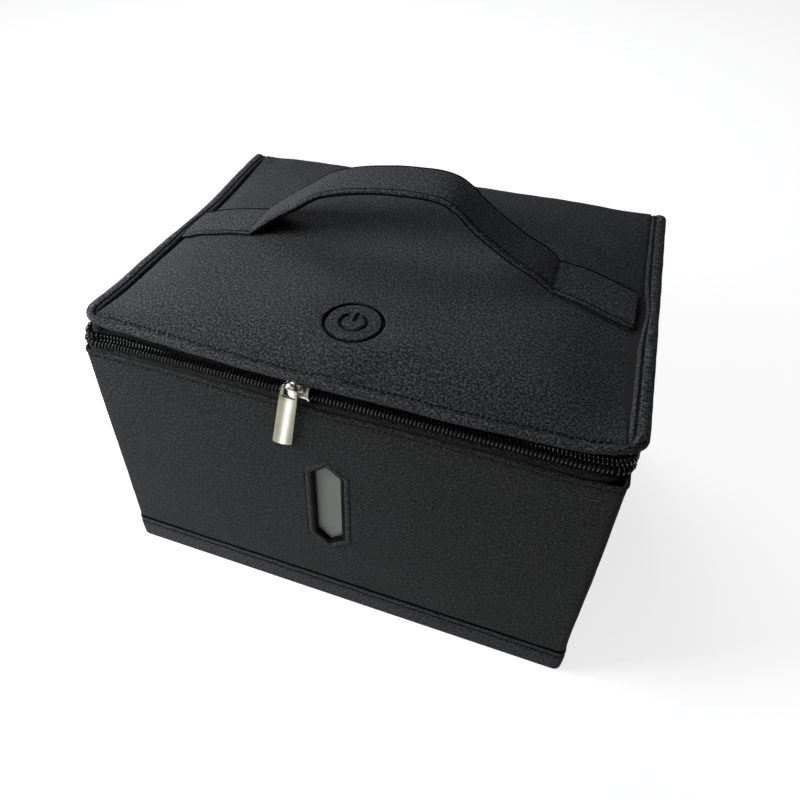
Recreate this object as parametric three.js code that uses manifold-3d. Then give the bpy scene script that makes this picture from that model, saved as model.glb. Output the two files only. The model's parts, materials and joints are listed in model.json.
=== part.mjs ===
// A lidded fabric box that cleans small baby things with ultraviolet light.
// X runs across the front, +Y to the back, +Z up; the origin is the middle of the underside.
// Body, lid, zipper slider, pull and power button are separate moving groups of pieces.

import * as THREE from 'three';
import { mergeVertices } from 'three/addons/utils/BufferGeometryUtils.js';
import Module from 'manifold-3d';

const wasm = await Module();
wasm.setup();

// Driving sizes of the box, in millimetres
const bodyWidth = 220;
const bodyDepth = 172;
const wallTop = 131; // top edge of the body's fabric at the front and sides
const bodyCorner = 3.2;
const boardClear = 6;
const chainRise = 3.4; // from the wall's top edge up to the middle of the zipper
const lidRise = 10; // from the middle of the zipper to the top of the lid's seam bands

// Sheet thicknesses, and the clearance between sheets that touch
const fabric = 0.8;
const tape = 0.5;
const board = 2.2;
const foil = 0.4;
const film = 0.4;
const gap = 0.3;

// Bottom of the body
const hemHeight = 15.7;
const hemProud = 0.5;
const hemRound = 3;

// Window in the front wall
const windowHeight = 71.8;
const windowShift = -1;
const windowHalfWidth = 7;
const windowHalfStraight = 20.5;
const windowHalfHeight = 26.5;
const filmMargin = 3;
const filmRecess = 2.2;

// Zipper
const chainInset = 4.6; // from the front plane in to the middle of the zipper
const zipCorner = 6;
const coilPitch = 1.5;
const coilReach = 2.9;
const coilHeight = 2.6;
const coilSlope = 0.6;
const chainGap = 1.5;
const toothDepth = 0.6;
const ridgeDepth = 0.4;
const coilEnd = 11; // from the back plane to the last tooth
const tapeEnd = 7;
const tapeTuck = 6;
const upperReach = 4.8;
const upperTuck = 3.5;
const stopLength = 2.4;
const stopWall = 0.5;

// Slider and pull
const sliderPlace = -12;
const sliderLength = 11;
const sliderHalfWidth = 3.9;
const sliderPlate = 0.9;
const sliderLip = 0.55;
const lipDepth = 0.95;
const postThickness = 0.8;
const postLength = 3.5;
const bridgeSpan = 10.8;
const bridgeLeg = 1.4;
const bridgeWidth = 2;
const bridgeThickness = 1;
const knuckleBore = 1.8;
const knuckleRadius = 2.5;
const knuckleWidth = 4.4;
const knucklePlace = -0.7;
const eyeWidth = 2;
const pullLength = 31;
const pullWidth = 7.6;
const pullThickness = 1.1;
const pullNeck = 4.4;
const pullCorner = 0.9;
const pullLean = THREE.MathUtils.degToRad(12);

// Lid
const rimOverhang = 3.4;
const rimHalfSide = 3.6;
const rimRise = 3.5;
const noseSetBack = 5;
const rimHalfFront = 3.3;
const rimRiseFront = 2.8;
const rimCorner = 4.6;
const rimStart = THREE.MathUtils.degToRad(-62);
const rimEndSide = THREE.MathUtils.degToRad(165);
const rimEndFront = THREE.MathUtils.degToRad(110);
const crownHeight = 8.2;
const seamDrop = 2.2; // how far the panel's side edge lies under the top of the seam bands
const frontDrop = 0.9;
const blendReach = 24;
const liningLift = 3.9;
const foamInset = 6;
const foldGap = 0.3;

// Power button
const buttonPlace = 31; // from the front plane back to its centre
const buttonHole = 12.5;
const capRadius = 10.9;
const capThickness = 2;
const symbolRadius = 5.4;
const symbolLine = 1.4;
const symbolDepth = 0.5;
const symbolBar = 5;
const bezelWall = 1;
const bezelFlange = 1.9;
const bezelFloor = 0.6;
const capTravel = 0.8;
const plungerRadius = 1.5;
const plungerDepth = 1.3;
const switchSide = 6;

// Electrics in the lid
const circuitWidth = 56;
const circuitDepth = 26;
const circuitThickness = 1.6;
const chipWidth = 9;
const chipDepth = 7;
const chipHeight = 2;
const chipShift = 19;
const stripLength = 150;
const stripWidth = 10;
const stripThickness = 1.6;
const stripClear = 1.7; // from the control board back to the front light strip
const ledCount = 5;
const ledSide = 3.5;
const ledHeight = 1.2;
const lensRadius = 1.5;
const coverWidth = 16;
const coverWall = 1;
const wireRadius = 0.8;
const wirePlace = 15;
const inletPlace = 60;
const inletWidth = 9;
const inletHeight = 3.2;
const inletDepth = 7.5;
const inletWall = 0.4;
const inletTongue = 0.7;
const reedPlace = -40;
const reedSetBack = 18;
const reedRadius = 1.2;
const reedLength = 14;
const magnetWidth = 12;
const magnetHeight = 5;
const magnetDrop = 2.5;

// Handle
const strapWidth = 25.5;
const strapLayer = 1.3;
const strapPlace = 4.2;
const stitchPlace = 69;
const archRise = 31.9;
const archPlaceShares = [-0.83, -0.67, -0.5, -0.39, -0.19, 0.06, 0.29, 0.38, 0.49, 0.61, 0.74, 0.87];
const archHeightShares = [0.27, 0.5, 0.75, 0.84, 0.94, 1, 0.99, 0.9, 0.69, 0.53, 0.35, 0.2];
const tabPlaceShares = [1.5, 1.38, 1.22, 1.1, 1];

const overrun = 2; // how far a cutting shape runs past what it cuts
const weld = 0.0001;

// Sizes that follow from the driving ones
const halfWidth = bodyWidth / 2;
const halfDepth = bodyDepth / 2;
const chainHeight = wallTop + chainRise;
const lidTop = chainHeight + lidRise;
const boardInset = fabric + gap + tape + gap;
const linerInset = boardInset + board + gap;
const tapePlane = fabric + gap + tape / 2;
const tapeSlope = chainInset - tapePlane;
const chainTilt = Math.atan2(tapeSlope, chainRise);
const baseBoardBottom = fabric + gap;
const wallBottom = baseBoardBottom + board + gap;
const boardTop = wallTop - gap * 5;
const cornerClear = chainInset + zipCorner + gap * 3;
const liningBottom = chainHeight + liningLift;
const lidBoardBottom = liningBottom + foil + gap;
const lidBoardTop = lidBoardBottom + board;
const electricsBottom = lidBoardTop + gap;
const rimMiddle = lidTop - rimRise;
const rimInnerSide = rimHalfSide * (1 - Math.cos(rimEndSide)) - rimOverhang;
const rimInnerFront = noseSetBack + rimHalfFront * (1 - Math.cos(rimEndFront));
const panelHalfWidth = halfWidth - rimInnerSide - gap;
const panelFront = halfDepth - rimInnerFront - gap;
const lidBoardHalf = halfWidth - boardInset;
const lidBoardFront = halfDepth - chainInset - upperReach * Math.sin(chainTilt) - tape / 2 - gap;
const lidBoardBack = halfDepth - fabric - gap;
const buttonY = buttonPlace - halfDepth;
const coilBase = tape / 2 + gap;
const coilTop = coilBase + coilHeight;

const materials = {
  cloth: new THREE.MeshStandardMaterial({ color: 0x2c2d30, roughness: 0.95, metalness: 0 }),
  darkCloth: new THREE.MeshStandardMaterial({ color: 0x1d1e20, roughness: 0.95, metalness: 0 }),
  tape: new THREE.MeshStandardMaterial({ color: 0x101012, roughness: 0.9, metalness: 0 }),
  coil: new THREE.MeshStandardMaterial({ color: 0x17171a, roughness: 0.45, metalness: 0 }),
  nickel: new THREE.MeshStandardMaterial({ color: 0xc9c8b4, roughness: 0.3, metalness: 1 }),
  film: new THREE.MeshStandardMaterial({ color: 0x7d7f7a, roughness: 0.35, metalness: 0 }),
  stiffener: new THREE.MeshStandardMaterial({ color: 0x26262a, roughness: 0.85, metalness: 0 }),
  foil: new THREE.MeshStandardMaterial({ color: 0xc6cbd0, roughness: 0.3, metalness: 1 }),
  foam: new THREE.MeshStandardMaterial({ color: 0x4a4a4e, roughness: 1, metalness: 0 }),
  circuit: new THREE.MeshStandardMaterial({ color: 0x1f5a3a, roughness: 0.6, metalness: 0 }),
  aluminium: new THREE.MeshStandardMaterial({ color: 0xd8dade, roughness: 0.4, metalness: 1 }),
  ceramic: new THREE.MeshStandardMaterial({ color: 0xe8e6da, roughness: 0.4, metalness: 0 }),
  clear: new THREE.MeshStandardMaterial({ color: 0xdfe6ea, roughness: 0.15, metalness: 0 }),
  plastic: new THREE.MeshStandardMaterial({ color: 0x141416, roughness: 0.6, metalness: 0 }),
  wire: new THREE.MeshStandardMaterial({ color: 0x8a1f1c, roughness: 0.5, metalness: 0 }),
  magnet: new THREE.MeshStandardMaterial({ color: 0x9a9ca0, roughness: 0.35, metalness: 1 }),
};

const bag = new THREE.Group();
const bodyGroup = new THREE.Group();
const lidGroup = new THREE.Group();
bag.add(bodyGroup, lidGroup);

function piece(group, name, geometry, material) {
  const mesh = new THREE.Mesh(geometry, material);
  mesh.name = name;
  group.add(mesh);
  return mesh;
}

// Closed solids and boolean cuts

function toSolid(geometry) {
  const bare = geometry.clone();
  bare.deleteAttribute('normal');
  bare.deleteAttribute('uv');
  const merged = mergeVertices(bare, weld);
  const vertProperties = Float32Array.from(merged.getAttribute('position').array);
  const triVerts = Uint32Array.from(merged.getIndex().array);
  return new wasm.Manifold(new wasm.Mesh({ numProp: 3, vertProperties, triVerts }));
}

function toGeometry(solid) {
  const result = solid.getMesh();
  const geometry = new THREE.BufferGeometry();
  geometry.setAttribute('position', new THREE.BufferAttribute(Float32Array.from(result.vertProperties), 3));
  geometry.setIndex(Array.from(result.triVerts));
  geometry.computeVertexNormals();
  return geometry;
}

function cut(geometry, ...tools) {
  return toGeometry(tools.reduce((solid, tool) => solid.subtract(toSolid(tool)), toSolid(geometry)));
}

function join(...geometries) {
  return toGeometry(geometries.map(toSolid).reduce((sum, solid) => sum.add(solid)));
}

function overlapOf(first, second) {
  return toGeometry(toSolid(first).intersect(toSolid(second)));
}

function closedBody(points, faces) {
  let volume = 0;
  for (let i = 0; i < faces.length; i += 3) {
    const [a, b, c] = [points[faces[i]], points[faces[i + 1]], points[faces[i + 2]]];
    volume += a.dot(new THREE.Vector3().crossVectors(b, c));
  }
  const geometry = new THREE.BufferGeometry().setFromPoints(points);
  geometry.setIndex(volume < 0 ? faces.slice().reverse() : faces);
  geometry.computeVertexNormals();
  return geometry;
}

// A body skinned over equal rings of points; an open run is closed with its outline at both ends
function skin(rings, endOutline) {
  const count = rings[0].length;
  const faces = [];
  const spans = endOutline ? rings.length - 1 : rings.length;
  for (let r = 0; r < spans; r += 1) {
    const here = r * count;
    const there = ((r + 1) % rings.length) * count;
    for (let k = 0; k < count; k += 1) {
      const next = (k + 1) % count;
      faces.push(here + k, here + next, there + next, here + k, there + next, there + k);
    }
  }
  if (endOutline) {
    const last = (rings.length - 1) * count;
    const turn = Math.sign(THREE.ShapeUtils.area(endOutline));
    for (const corners of THREE.ShapeUtils.triangulateShape(endOutline, [])) {
      const flat = corners.map((index) => endOutline[index]);
      const [i, j, k] = Math.sign(THREE.ShapeUtils.area(flat)) === turn ? corners : corners.slice().reverse();
      faces.push(k, j, i, last + i, last + j, last + k);
    }
  }
  return closedBody(rings.flat(), faces);
}

// A body between an upper and a lower grid of points with the same rows and columns
function quilt(upper, lower) {
  const rows = upper.length;
  const columns = upper[0].length;
  const points = [...upper.flat(), ...lower.flat()];
  const shift = rows * columns;
  const at = (row, column) => row * columns + column;
  const faces = [];
  for (let r = 0; r < rows - 1; r += 1) {
    for (let c = 0; c < columns - 1; c += 1) {
      const [a, b, d, e] = [at(r, c), at(r, c + 1), at(r + 1, c + 1), at(r + 1, c)];
      faces.push(a, b, d, a, d, e, shift + d, shift + b, shift + a, shift + e, shift + d, shift + a);
    }
  }
  const edge = [];
  for (let c = 0; c < columns - 1; c += 1) edge.push([at(0, c + 1), at(0, c)]);
  for (let r = 0; r < rows - 1; r += 1) edge.push([at(r, 0), at(r + 1, 0)]);
  for (let c = 0; c < columns - 1; c += 1) edge.push([at(rows - 1, c), at(rows - 1, c + 1)]);
  for (let r = 0; r < rows - 1; r += 1) edge.push([at(r + 1, columns - 1), at(r, columns - 1)]);
  for (const [from, to] of edge) faces.push(from, to, shift + to, from, shift + to, shift + from);
  return closedBody(points, faces);
}

// Plain building shapes

function block(width, depth, height, x, y, bottom) {
  return new THREE.BoxGeometry(width, depth, height).translate(x, y, bottom + height / 2);
}

function roundedOutline(halfX, front, back, radius) {
  const outline = new THREE.Shape();
  outline.moveTo(-halfX + radius, front);
  outline.lineTo(halfX - radius, front);
  outline.absarc(halfX - radius, front + radius, radius, -Math.PI / 2, 0, false);
  outline.lineTo(halfX, back - radius);
  outline.absarc(halfX - radius, back - radius, radius, 0, Math.PI / 2, false);
  outline.lineTo(-halfX + radius, back);
  outline.absarc(-halfX + radius, back - radius, radius, Math.PI / 2, Math.PI, false);
  outline.lineTo(-halfX, front + radius);
  outline.absarc(-halfX + radius, front + radius, radius, Math.PI, Math.PI * 1.5, false);
  return outline;
}

function prism(outline, bottom, height, steps) {
  const options = { depth: height, bevelEnabled: false, curveSegments: steps };
  return new THREE.ExtrudeGeometry(outline, options).translate(0, 0, bottom);
}

function disc(radius, bottom, height, x, y, sides) {
  return new THREE.CylinderGeometry(radius, radius, height, sides)
    .rotateX(Math.PI / 2)
    .translate(x, y, bottom + height / 2);
}

// A window-shaped prism that runs inward from `depthFrom` behind the front plane
function windowPrism(margin, depthFrom, depthTo) {
  const halfX = windowHalfWidth + margin;
  const straight = windowHalfStraight + margin / 2;
  const tall = windowHalfHeight + margin;
  const outline = new THREE.Shape();
  outline.moveTo(-halfX, -straight);
  outline.lineTo(0, -tall);
  outline.lineTo(halfX, -straight);
  outline.lineTo(halfX, straight);
  outline.lineTo(0, tall);
  outline.lineTo(-halfX, straight);
  return prism(outline, 0, depthTo - depthFrom, 1)
    .rotateX(Math.PI / 2)
    .translate(windowShift, depthTo - halfDepth, windowHeight);
}

// Routes round the box: every point of a section is given as (out, up) from the route

function closedRoute(halfX, halfY, radius, steps) {
  const stations = [];
  for (const [signX, signY, from] of [[1, -1, -0.5], [1, 1, 0], [-1, 1, 0.5], [-1, -1, 1]]) {
    for (let i = 0; i <= steps; i += 1) {
      const angle = (from + i / steps / 2) * Math.PI;
      stations.push({ x: signX * (halfX - radius), y: signY * (halfY - radius), angle });
    }
  }
  return stations.map(({ x, y, angle }) => (out, up) => new THREE.Vector3(
    x + (radius + out) * Math.cos(angle),
    y + (radius + out) * Math.sin(angle),
    up,
  ));
}

// The three-sided run along the left side, the front and the right side
function openRoute(halfX, front, back, radius) {
  const side = back - front - radius;
  const bend = (radius * Math.PI) / 2;
  const across = 2 * (halfX - radius);
  const length = 2 * side + 2 * bend + across;
  const at = (distance) => {
    const mirrored = distance > length / 2;
    const s = mirrored ? length - distance : distance;
    const sign = mirrored ? 1 : -1;
    const turn = THREE.MathUtils.clamp((s - side) / bend, 0, 1);
    const along = Math.min(s, side);
    const over = Math.max(s - side - bend, 0);
    const angle = (turn * Math.PI) / 2;
    const place = (out, up) => new THREE.Vector3(
      sign * (halfX - radius - over + (radius + out) * Math.cos(angle)),
      turn === 0 ? back - along : front + radius - (radius + out) * Math.sin(angle),
      up,
    );
    return { place, frontness: turn };
  };
  const stops = (steps) => {
    const bends = Array.from({ length: steps + 1 }, (_, i) => side + (bend * i) / steps);
    return [0, ...bends, ...bends.map((s) => length - s).reverse(), length];
  };
  return { at, stops, length };
}

// Body

// Corner radius of a plan that lies `inset` in from the body's outer face
function innerCorner(inset) {
  return Math.max(bodyCorner - inset, fabric);
}

function makeBase() {
  const hemStations = closedRoute(halfWidth, halfDepth, bodyCorner, 5);
  const section = [[hemProud, hemHeight]];
  for (let i = 0; i <= 4; i += 1) {
    const angle = (-i * Math.PI) / 8;
    section.push([hemProud - hemRound + hemRound * Math.cos(angle), hemRound + hemRound * Math.sin(angle)]);
  }
  section.push([hemProud - hemRound, fabric], [gap - boardInset, fabric], [gap - boardInset, hemHeight]);
  const hem = skin(hemStations.map((place) => section.map(([out, up]) => place(out, up))));
  piece(bodyGroup, 'base_hem', hem, materials.cloth);

  const coverInset = hemRound - hemProud + gap;
  const cover = roundedOutline(
    halfWidth - coverInset, coverInset - halfDepth, halfDepth - coverInset, bodyCorner - coverInset,
  );
  piece(bodyGroup, 'base_cover', prism(cover, 0, fabric, 3), materials.darkCloth);

  const boardPlan = roundedOutline(
    halfWidth - boardInset, boardInset - halfDepth, halfDepth - boardInset, bodyCorner - boardInset,
  );
  piece(bodyGroup, 'base_board', prism(boardPlan, baseBoardBottom, board, 3), materials.stiffener);

  const linerPlan = roundedOutline(
    halfWidth - linerInset, linerInset - halfDepth, halfDepth - linerInset, innerCorner(linerInset),
  );
  piece(bodyGroup, 'base_liner', prism(linerPlan, wallBottom, foil, 2), materials.foil);
}

// A tall ring that follows the walls, `inset` in from their outer face
function wallRing(inset, thickness, bottom, height, steps) {
  const outer = halfWidth - inset;
  const outerY = halfDepth - inset;
  const ring = roundedOutline(outer, -outerY, outerY, innerCorner(inset));
  const radius = innerCorner(inset + thickness);
  ring.holes.push(roundedOutline(outer - thickness, thickness - outerY, outerY - thickness, radius));
  return prism(ring, bottom, height, steps);
}

function makeWalls() {
  const wallFabricBottom = hemHeight + gap;
  const foldTop = chainHeight - foldGap;
  const tall = wallRing(0, fabric, wallFabricBottom, foldTop - wallFabricBottom, 4);
  const openEdge = block(
    bodyWidth + overrun, bodyDepth - bodyCorner + overrun, chainRise + overrun,
    0, -(bodyCorner + overrun) / 2, wallTop,
  );
  const facingOut = fabric + gap;
  const hole = windowPrism(facingOut, -overrun, linerInset);
  piece(bodyGroup, 'wall_fabric', cut(tall, openEdge, hole), materials.cloth);

  const facing = cut(windowPrism(fabric, 0, boardInset - gap), windowPrism(0, -overrun, linerInset));
  piece(bodyGroup, 'window_facing', facing, materials.darkCloth);
  const filmPlan = windowPrism(filmMargin, filmRecess, filmRecess + film);
  piece(bodyGroup, 'window_film', filmPlan, materials.film);

  const across = 2 * (halfWidth - boardClear);
  const boardHeight = boardTop - wallBottom;
  const boardMiddle = boardInset + board / 2 - halfDepth;
  const cornerRoom = 2 * cornerClear;
  const notches = [-1, 1].map((sign) => block(
    cornerRoom, cornerRoom, wallTop, sign * halfWidth, -halfDepth, wallTop - tapeTuck - gap * 3,
  ));
  const seat = windowPrism(filmMargin + gap, 0, filmRecess + film + gap);
  const opening = windowPrism(0, 0, linerInset + overrun);
  const notchHeight = magnetHeight + gap;
  const notchBottom = boardTop - magnetDrop - notchHeight;
  const notchWidth = magnetWidth + gap * 2;
  const notch = block(notchWidth, board + overrun, notchHeight + gap, reedPlace, boardMiddle, notchBottom);
  const frontPanel = block(across, board, boardHeight, 0, boardMiddle, wallBottom);
  const frontBoard = cut(frontPanel, seat, opening, notch, ...notches);
  piece(bodyGroup, 'front_board', frontBoard, materials.stiffener);
  const magnet = block(magnetWidth, board, magnetHeight, reedPlace, boardMiddle, notchBottom + gap);
  piece(bodyGroup, 'safety_magnet', magnet, materials.magnet);

  const backHeight = foldTop - gap * 5 - wallBottom;
  const backBoard = block(across, board, backHeight, 0, -boardMiddle, wallBottom);
  piece(bodyGroup, 'back_board', backBoard, materials.stiffener);
  for (const [name, sign] of [['left_board', -1], ['right_board', 1]]) {
    const x = sign * (halfWidth - boardInset - board / 2);
    const panel = block(board, bodyDepth - boardClear * 2, boardHeight, x, 0, wallBottom);
    piece(bodyGroup, name, cut(panel, ...notches), materials.stiffener);
  }

  const linerBottom = wallBottom + foil + gap;
  const liner = wallRing(linerInset, foil, linerBottom, boardTop - linerBottom, 2);
  const linerHole = windowPrism(gap, linerInset - overrun, linerInset + foil + overrun);
  piece(bodyGroup, 'wall_liner', cut(liner, linerHole), materials.foil);
}

// Zipper: `across` runs over the tape away from the body, `proud` stands out of the tape's plane

const zipRoute = openRoute(
  halfWidth - tapePlane, chainInset - halfDepth, halfDepth - tapeEnd, zipCorner,
);

function zipPoint(station, across, proud) {
  const tilt = chainTilt * station.frontness;
  return station.place(
    proud * Math.cos(tilt) - across * Math.sin(tilt),
    chainHeight + across * Math.cos(tilt) + proud * Math.sin(tilt),
  );
}

// A tape is a strip from the chain to a bend, and then a straight leg that is sewn in out of sight
function makeTape(group, name, side) {
  const thick = tape / 2;
  const edge = (side * chainGap) / 2;
  const sectionAt = (station) => {
    const tilt = chainTilt * station.frontness;
    const lean = Math.tan(tilt / 2) * thick * side;
    const reach = side > 0 ? upperReach : chainRise / Math.cos(tilt);
    const bend = zipPoint(station, side * reach, 0);
    const bendOut = -side * reach * Math.sin(tilt);
    const leg = side > 0 ? upperTuck : tapeTuck;
    return [
      zipPoint(station, edge, thick),
      zipPoint(station, side * reach - lean * side, thick),
      station.place(bendOut + thick, bend.z + side * leg),
      station.place(bendOut - thick, bend.z + side * leg),
      zipPoint(station, side * reach + lean * side, -thick),
      zipPoint(station, edge, -thick),
    ];
  };
  const stations = zipRoute.stops(6).map(zipRoute.at);
  const first = sectionAt(stations[0]).map((p) => new THREE.Vector2(p.x, p.z));
  piece(group, name, skin(stations.map(sectionAt), first), materials.tape);
}

// A coil is a ridged bead whose teeth point at the other coil, two stations to a tooth
function makeCoil(group, name, side, offset) {
  const start = coilEnd - tapeEnd + offset;
  const usable = zipRoute.length - 2 * (coilEnd - tapeEnd) - coilPitch;
  const stations = Math.floor((2 * usable) / coilPitch);
  const rings = [];
  for (let i = 0; i <= stations; i += 1) {
    const station = zipRoute.at(start + (i * coilPitch) / 2);
    const low = i % 2;
    rings.push([
      zipPoint(station, side * coilReach, coilBase),
      zipPoint(station, side * (coilReach - coilSlope), coilTop - low * ridgeDepth),
      zipPoint(station, side * (chainGap / 2 + low * toothDepth), coilBase + coilHeight / 2),
    ]);
  }
  const outline = rings[0].map((p) => new THREE.Vector2(p.x, p.z));
  piece(group, name, skin(rings, outline), materials.coil);
}

function makeStops(group, part, side) {
  for (const [word, sign] of [['left', -1], ['right', 1]]) {
    const inner = chainGap / 2;
    const width = coilReach - inner;
    const thickness = coilHeight - stopWall;
    const x = sign * (halfWidth - tapePlane + coilBase + thickness / 2);
    const y = halfDepth - coilEnd + stopLength / 2 + gap;
    const bottom = side > 0 ? chainHeight + inner : chainHeight - inner - width;
    piece(group, `${part}_stop_${word}`, block(thickness, stopLength, width, x, y, bottom), materials.nickel);
  }
}

function makeZipper() {
  makeTape(bodyGroup, 'zip_tape_lower', -1);
  makeTape(lidGroup, 'zip_tape_upper', 1);
  makeCoil(bodyGroup, 'zip_coil_lower', -1, 0);
  makeCoil(lidGroup, 'zip_coil_upper', 1, coilPitch / 2);
  makeStops(bodyGroup, 'zip_lower', -1);
  makeStops(lidGroup, 'zip_upper', 1);
}

// Slider: X along the zipper, Y across it towards the lid, Z out of the tape

function sliderOutline(halfSpan) {
  const half = sliderLength / 2;
  const tail = halfSpan * 0.94;
  const round = sliderLength / 6;
  const outline = new THREE.Shape();
  outline.moveTo(-half, -tail + round);
  outline.quadraticCurveTo(-half, -tail, -half + round, -tail);
  outline.lineTo(half - round, -halfSpan);
  outline.quadraticCurveTo(half, -halfSpan, half, round - halfSpan);
  outline.lineTo(half, halfSpan - round);
  outline.quadraticCurveTo(half, halfSpan, half - round, halfSpan);
  outline.lineTo(-half + round, tail);
  outline.quadraticCurveTo(-half, tail, -half, tail - round);
  return outline;
}

// The bridge as seen from the body, with its two upper corners rounded
function bridgePrism(span, rise, round) {
  const half = span / 2;
  const outline = new THREE.Shape();
  outline.moveTo(-half, 0);
  outline.lineTo(half, 0);
  outline.lineTo(half, rise - round);
  outline.quadraticCurveTo(half, rise, half - round, rise);
  outline.lineTo(round - half, rise);
  outline.quadraticCurveTo(-half, rise, -half, rise - round);
  return prism(outline, -bridgeWidth / 2, bridgeWidth, 4).rotateX(Math.PI / 2);
}

function makeSlider() {
  const plateBottom = coilTop + gap;
  const plateTop = plateBottom + sliderPlate;
  const channel = 2 * (sliderHalfWidth - sliderLip);
  const backTop = -tape / 2 - gap;
  const backBottom = backTop - sliderPlate;
  const lipBottom = plateBottom - lipDepth;
  const barHeight = plateTop + gap + knuckleRadius;
  const shell = cut(
    prism(sliderOutline(sliderHalfWidth), lipBottom, plateTop - lipBottom, 3),
    block(sliderLength + overrun, channel, lipDepth + overrun, 0, 0, lipBottom - overrun),
  );
  const postX = sliderLength / 2 - postLength / 2 - gap * 3;
  const post = block(postLength, postThickness, plateTop - backBottom - gap, postX, 0, backBottom + gap / 2);
  const backKeep = block(
    sliderLength + overrun, sliderHalfWidth + postThickness / 2, sliderPlate * 3,
    0, (sliderHalfWidth - postThickness / 2) / 2, backBottom - sliderPlate,
  );
  const back = overlapOf(prism(sliderOutline(sliderHalfWidth), backBottom, sliderPlate, 3), backKeep);
  const bridgeBottom = plateTop - sliderPlate / 2;
  const bridgeRise = barHeight + bridgeThickness / 2 - bridgeBottom;
  const bridge = cut(
    bridgePrism(bridgeSpan, bridgeRise, bridgeLeg).translate(0, 0, bridgeBottom),
    bridgePrism(bridgeSpan - bridgeLeg * 2, bridgeRise - bridgeThickness + overrun, bridgeLeg / 2)
      .scale(1, overrun, 1)
      .translate(0, 0, bridgeBottom - overrun),
  );

  const slider = new THREE.Group();
  slider.position.set(sliderPlace, chainInset - halfDepth, chainHeight);
  slider.rotation.x = Math.PI / 2 - chainTilt;
  bag.add(slider);
  piece(slider, 'slider_body', join(shell, post, back, bridge), materials.nickel);

  const pull = new THREE.Group();
  pull.position.set(
    sliderPlace + knucklePlace,
    chainInset - halfDepth - barHeight * Math.cos(chainTilt),
    chainHeight + barHeight * Math.sin(chainTilt),
  );
  pull.rotation.y = pullLean;
  bag.add(pull);
  piece(pull, 'zip_pull', pullGeometry(), materials.nickel);
}

// The pull hangs from a knuckle rolled round the slider's bar, with an eye that shows the bar from the front
function pullGeometry() {
  const knuckle = new THREE.Shape().absarc(0, 0, knuckleRadius, 0, Math.PI * 2, false);
  knuckle.holes.push(new THREE.Path().absarc(0, 0, knuckleBore, 0, Math.PI * 2, true));
  const ring = prism(knuckle, -knuckleWidth / 2, knuckleWidth, 9).rotateY(Math.PI / 2);
  const plan = new THREE.Shape();
  const half = pullWidth / 2;
  const neckHalf = knuckleWidth / 2;
  plan.moveTo(-neckHalf, 0);
  plan.lineTo(-neckHalf, -knuckleRadius);
  plan.quadraticCurveTo(-half, -knuckleRadius - pullCorner, -half, -pullNeck);
  plan.lineTo(-half, pullCorner - pullLength);
  plan.quadraticCurveTo(-half, -pullLength, pullCorner - half, -pullLength);
  plan.lineTo(half - pullCorner, -pullLength);
  plan.quadraticCurveTo(half, -pullLength, half, pullCorner - pullLength);
  plan.lineTo(half, -pullNeck);
  plan.quadraticCurveTo(half, -knuckleRadius - pullCorner, neckHalf, -knuckleRadius);
  plan.lineTo(neckHalf, 0);
  const plate = prism(plan, 0, pullThickness, 4)
    .rotateX(Math.PI / 2)
    .translate(0, pullThickness - knuckleRadius, 0);
  const bore = new THREE.CylinderGeometry(knuckleBore, knuckleBore, pullWidth, 18).rotateZ(Math.PI / 2);
  const eyeDepth = knuckleRadius + overrun;
  const eye = block(eyeWidth, eyeDepth, pullNeck * 2, 0, -eyeDepth / 2, -pullNeck);
  return cut(join(ring, plate), bore, eye);
}

// Lid

// Height of the lid's outer face: a padded crown between the seams, level with the fold at the back
function lidHeight(x, y) {
  const side = Math.min(Math.abs(x) / panelHalfWidth, 1);
  const nearFront = THREE.MathUtils.clamp(1 - (y + panelFront) / blendReach, 0, 1) ** 2;
  const nearBack = THREE.MathUtils.clamp(1 - (halfDepth - y) / (blendReach * 1.5), 0, 1) ** 2;
  const edge = lidTop - seamDrop + (seamDrop - frontDrop) * nearFront + seamDrop * nearBack;
  const lengthwise = y < 0
    ? 1 - Math.min(-y / panelFront, 1) ** 12
    : 1 - Math.min(y / halfDepth, 1) ** 4;
  return edge + crownHeight * (1 - side ** 5) * lengthwise;
}

// Grid points that stand closer together towards the edges
function crownGrid(halfX, front, back, columns, rows, heightAt) {
  const grid = [];
  for (let r = 0; r <= rows; r += 1) {
    const y = (front + back) / 2 - (Math.cos((r / rows) * Math.PI) * (back - front)) / 2;
    const row = [];
    for (let c = 0; c <= columns; c += 1) {
      const x = -halfX * Math.cos((c / columns) * Math.PI);
      row.push(new THREE.Vector3(x, y, heightAt(x, y)));
    }
    grid.push(row);
  }
  return grid;
}

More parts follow.
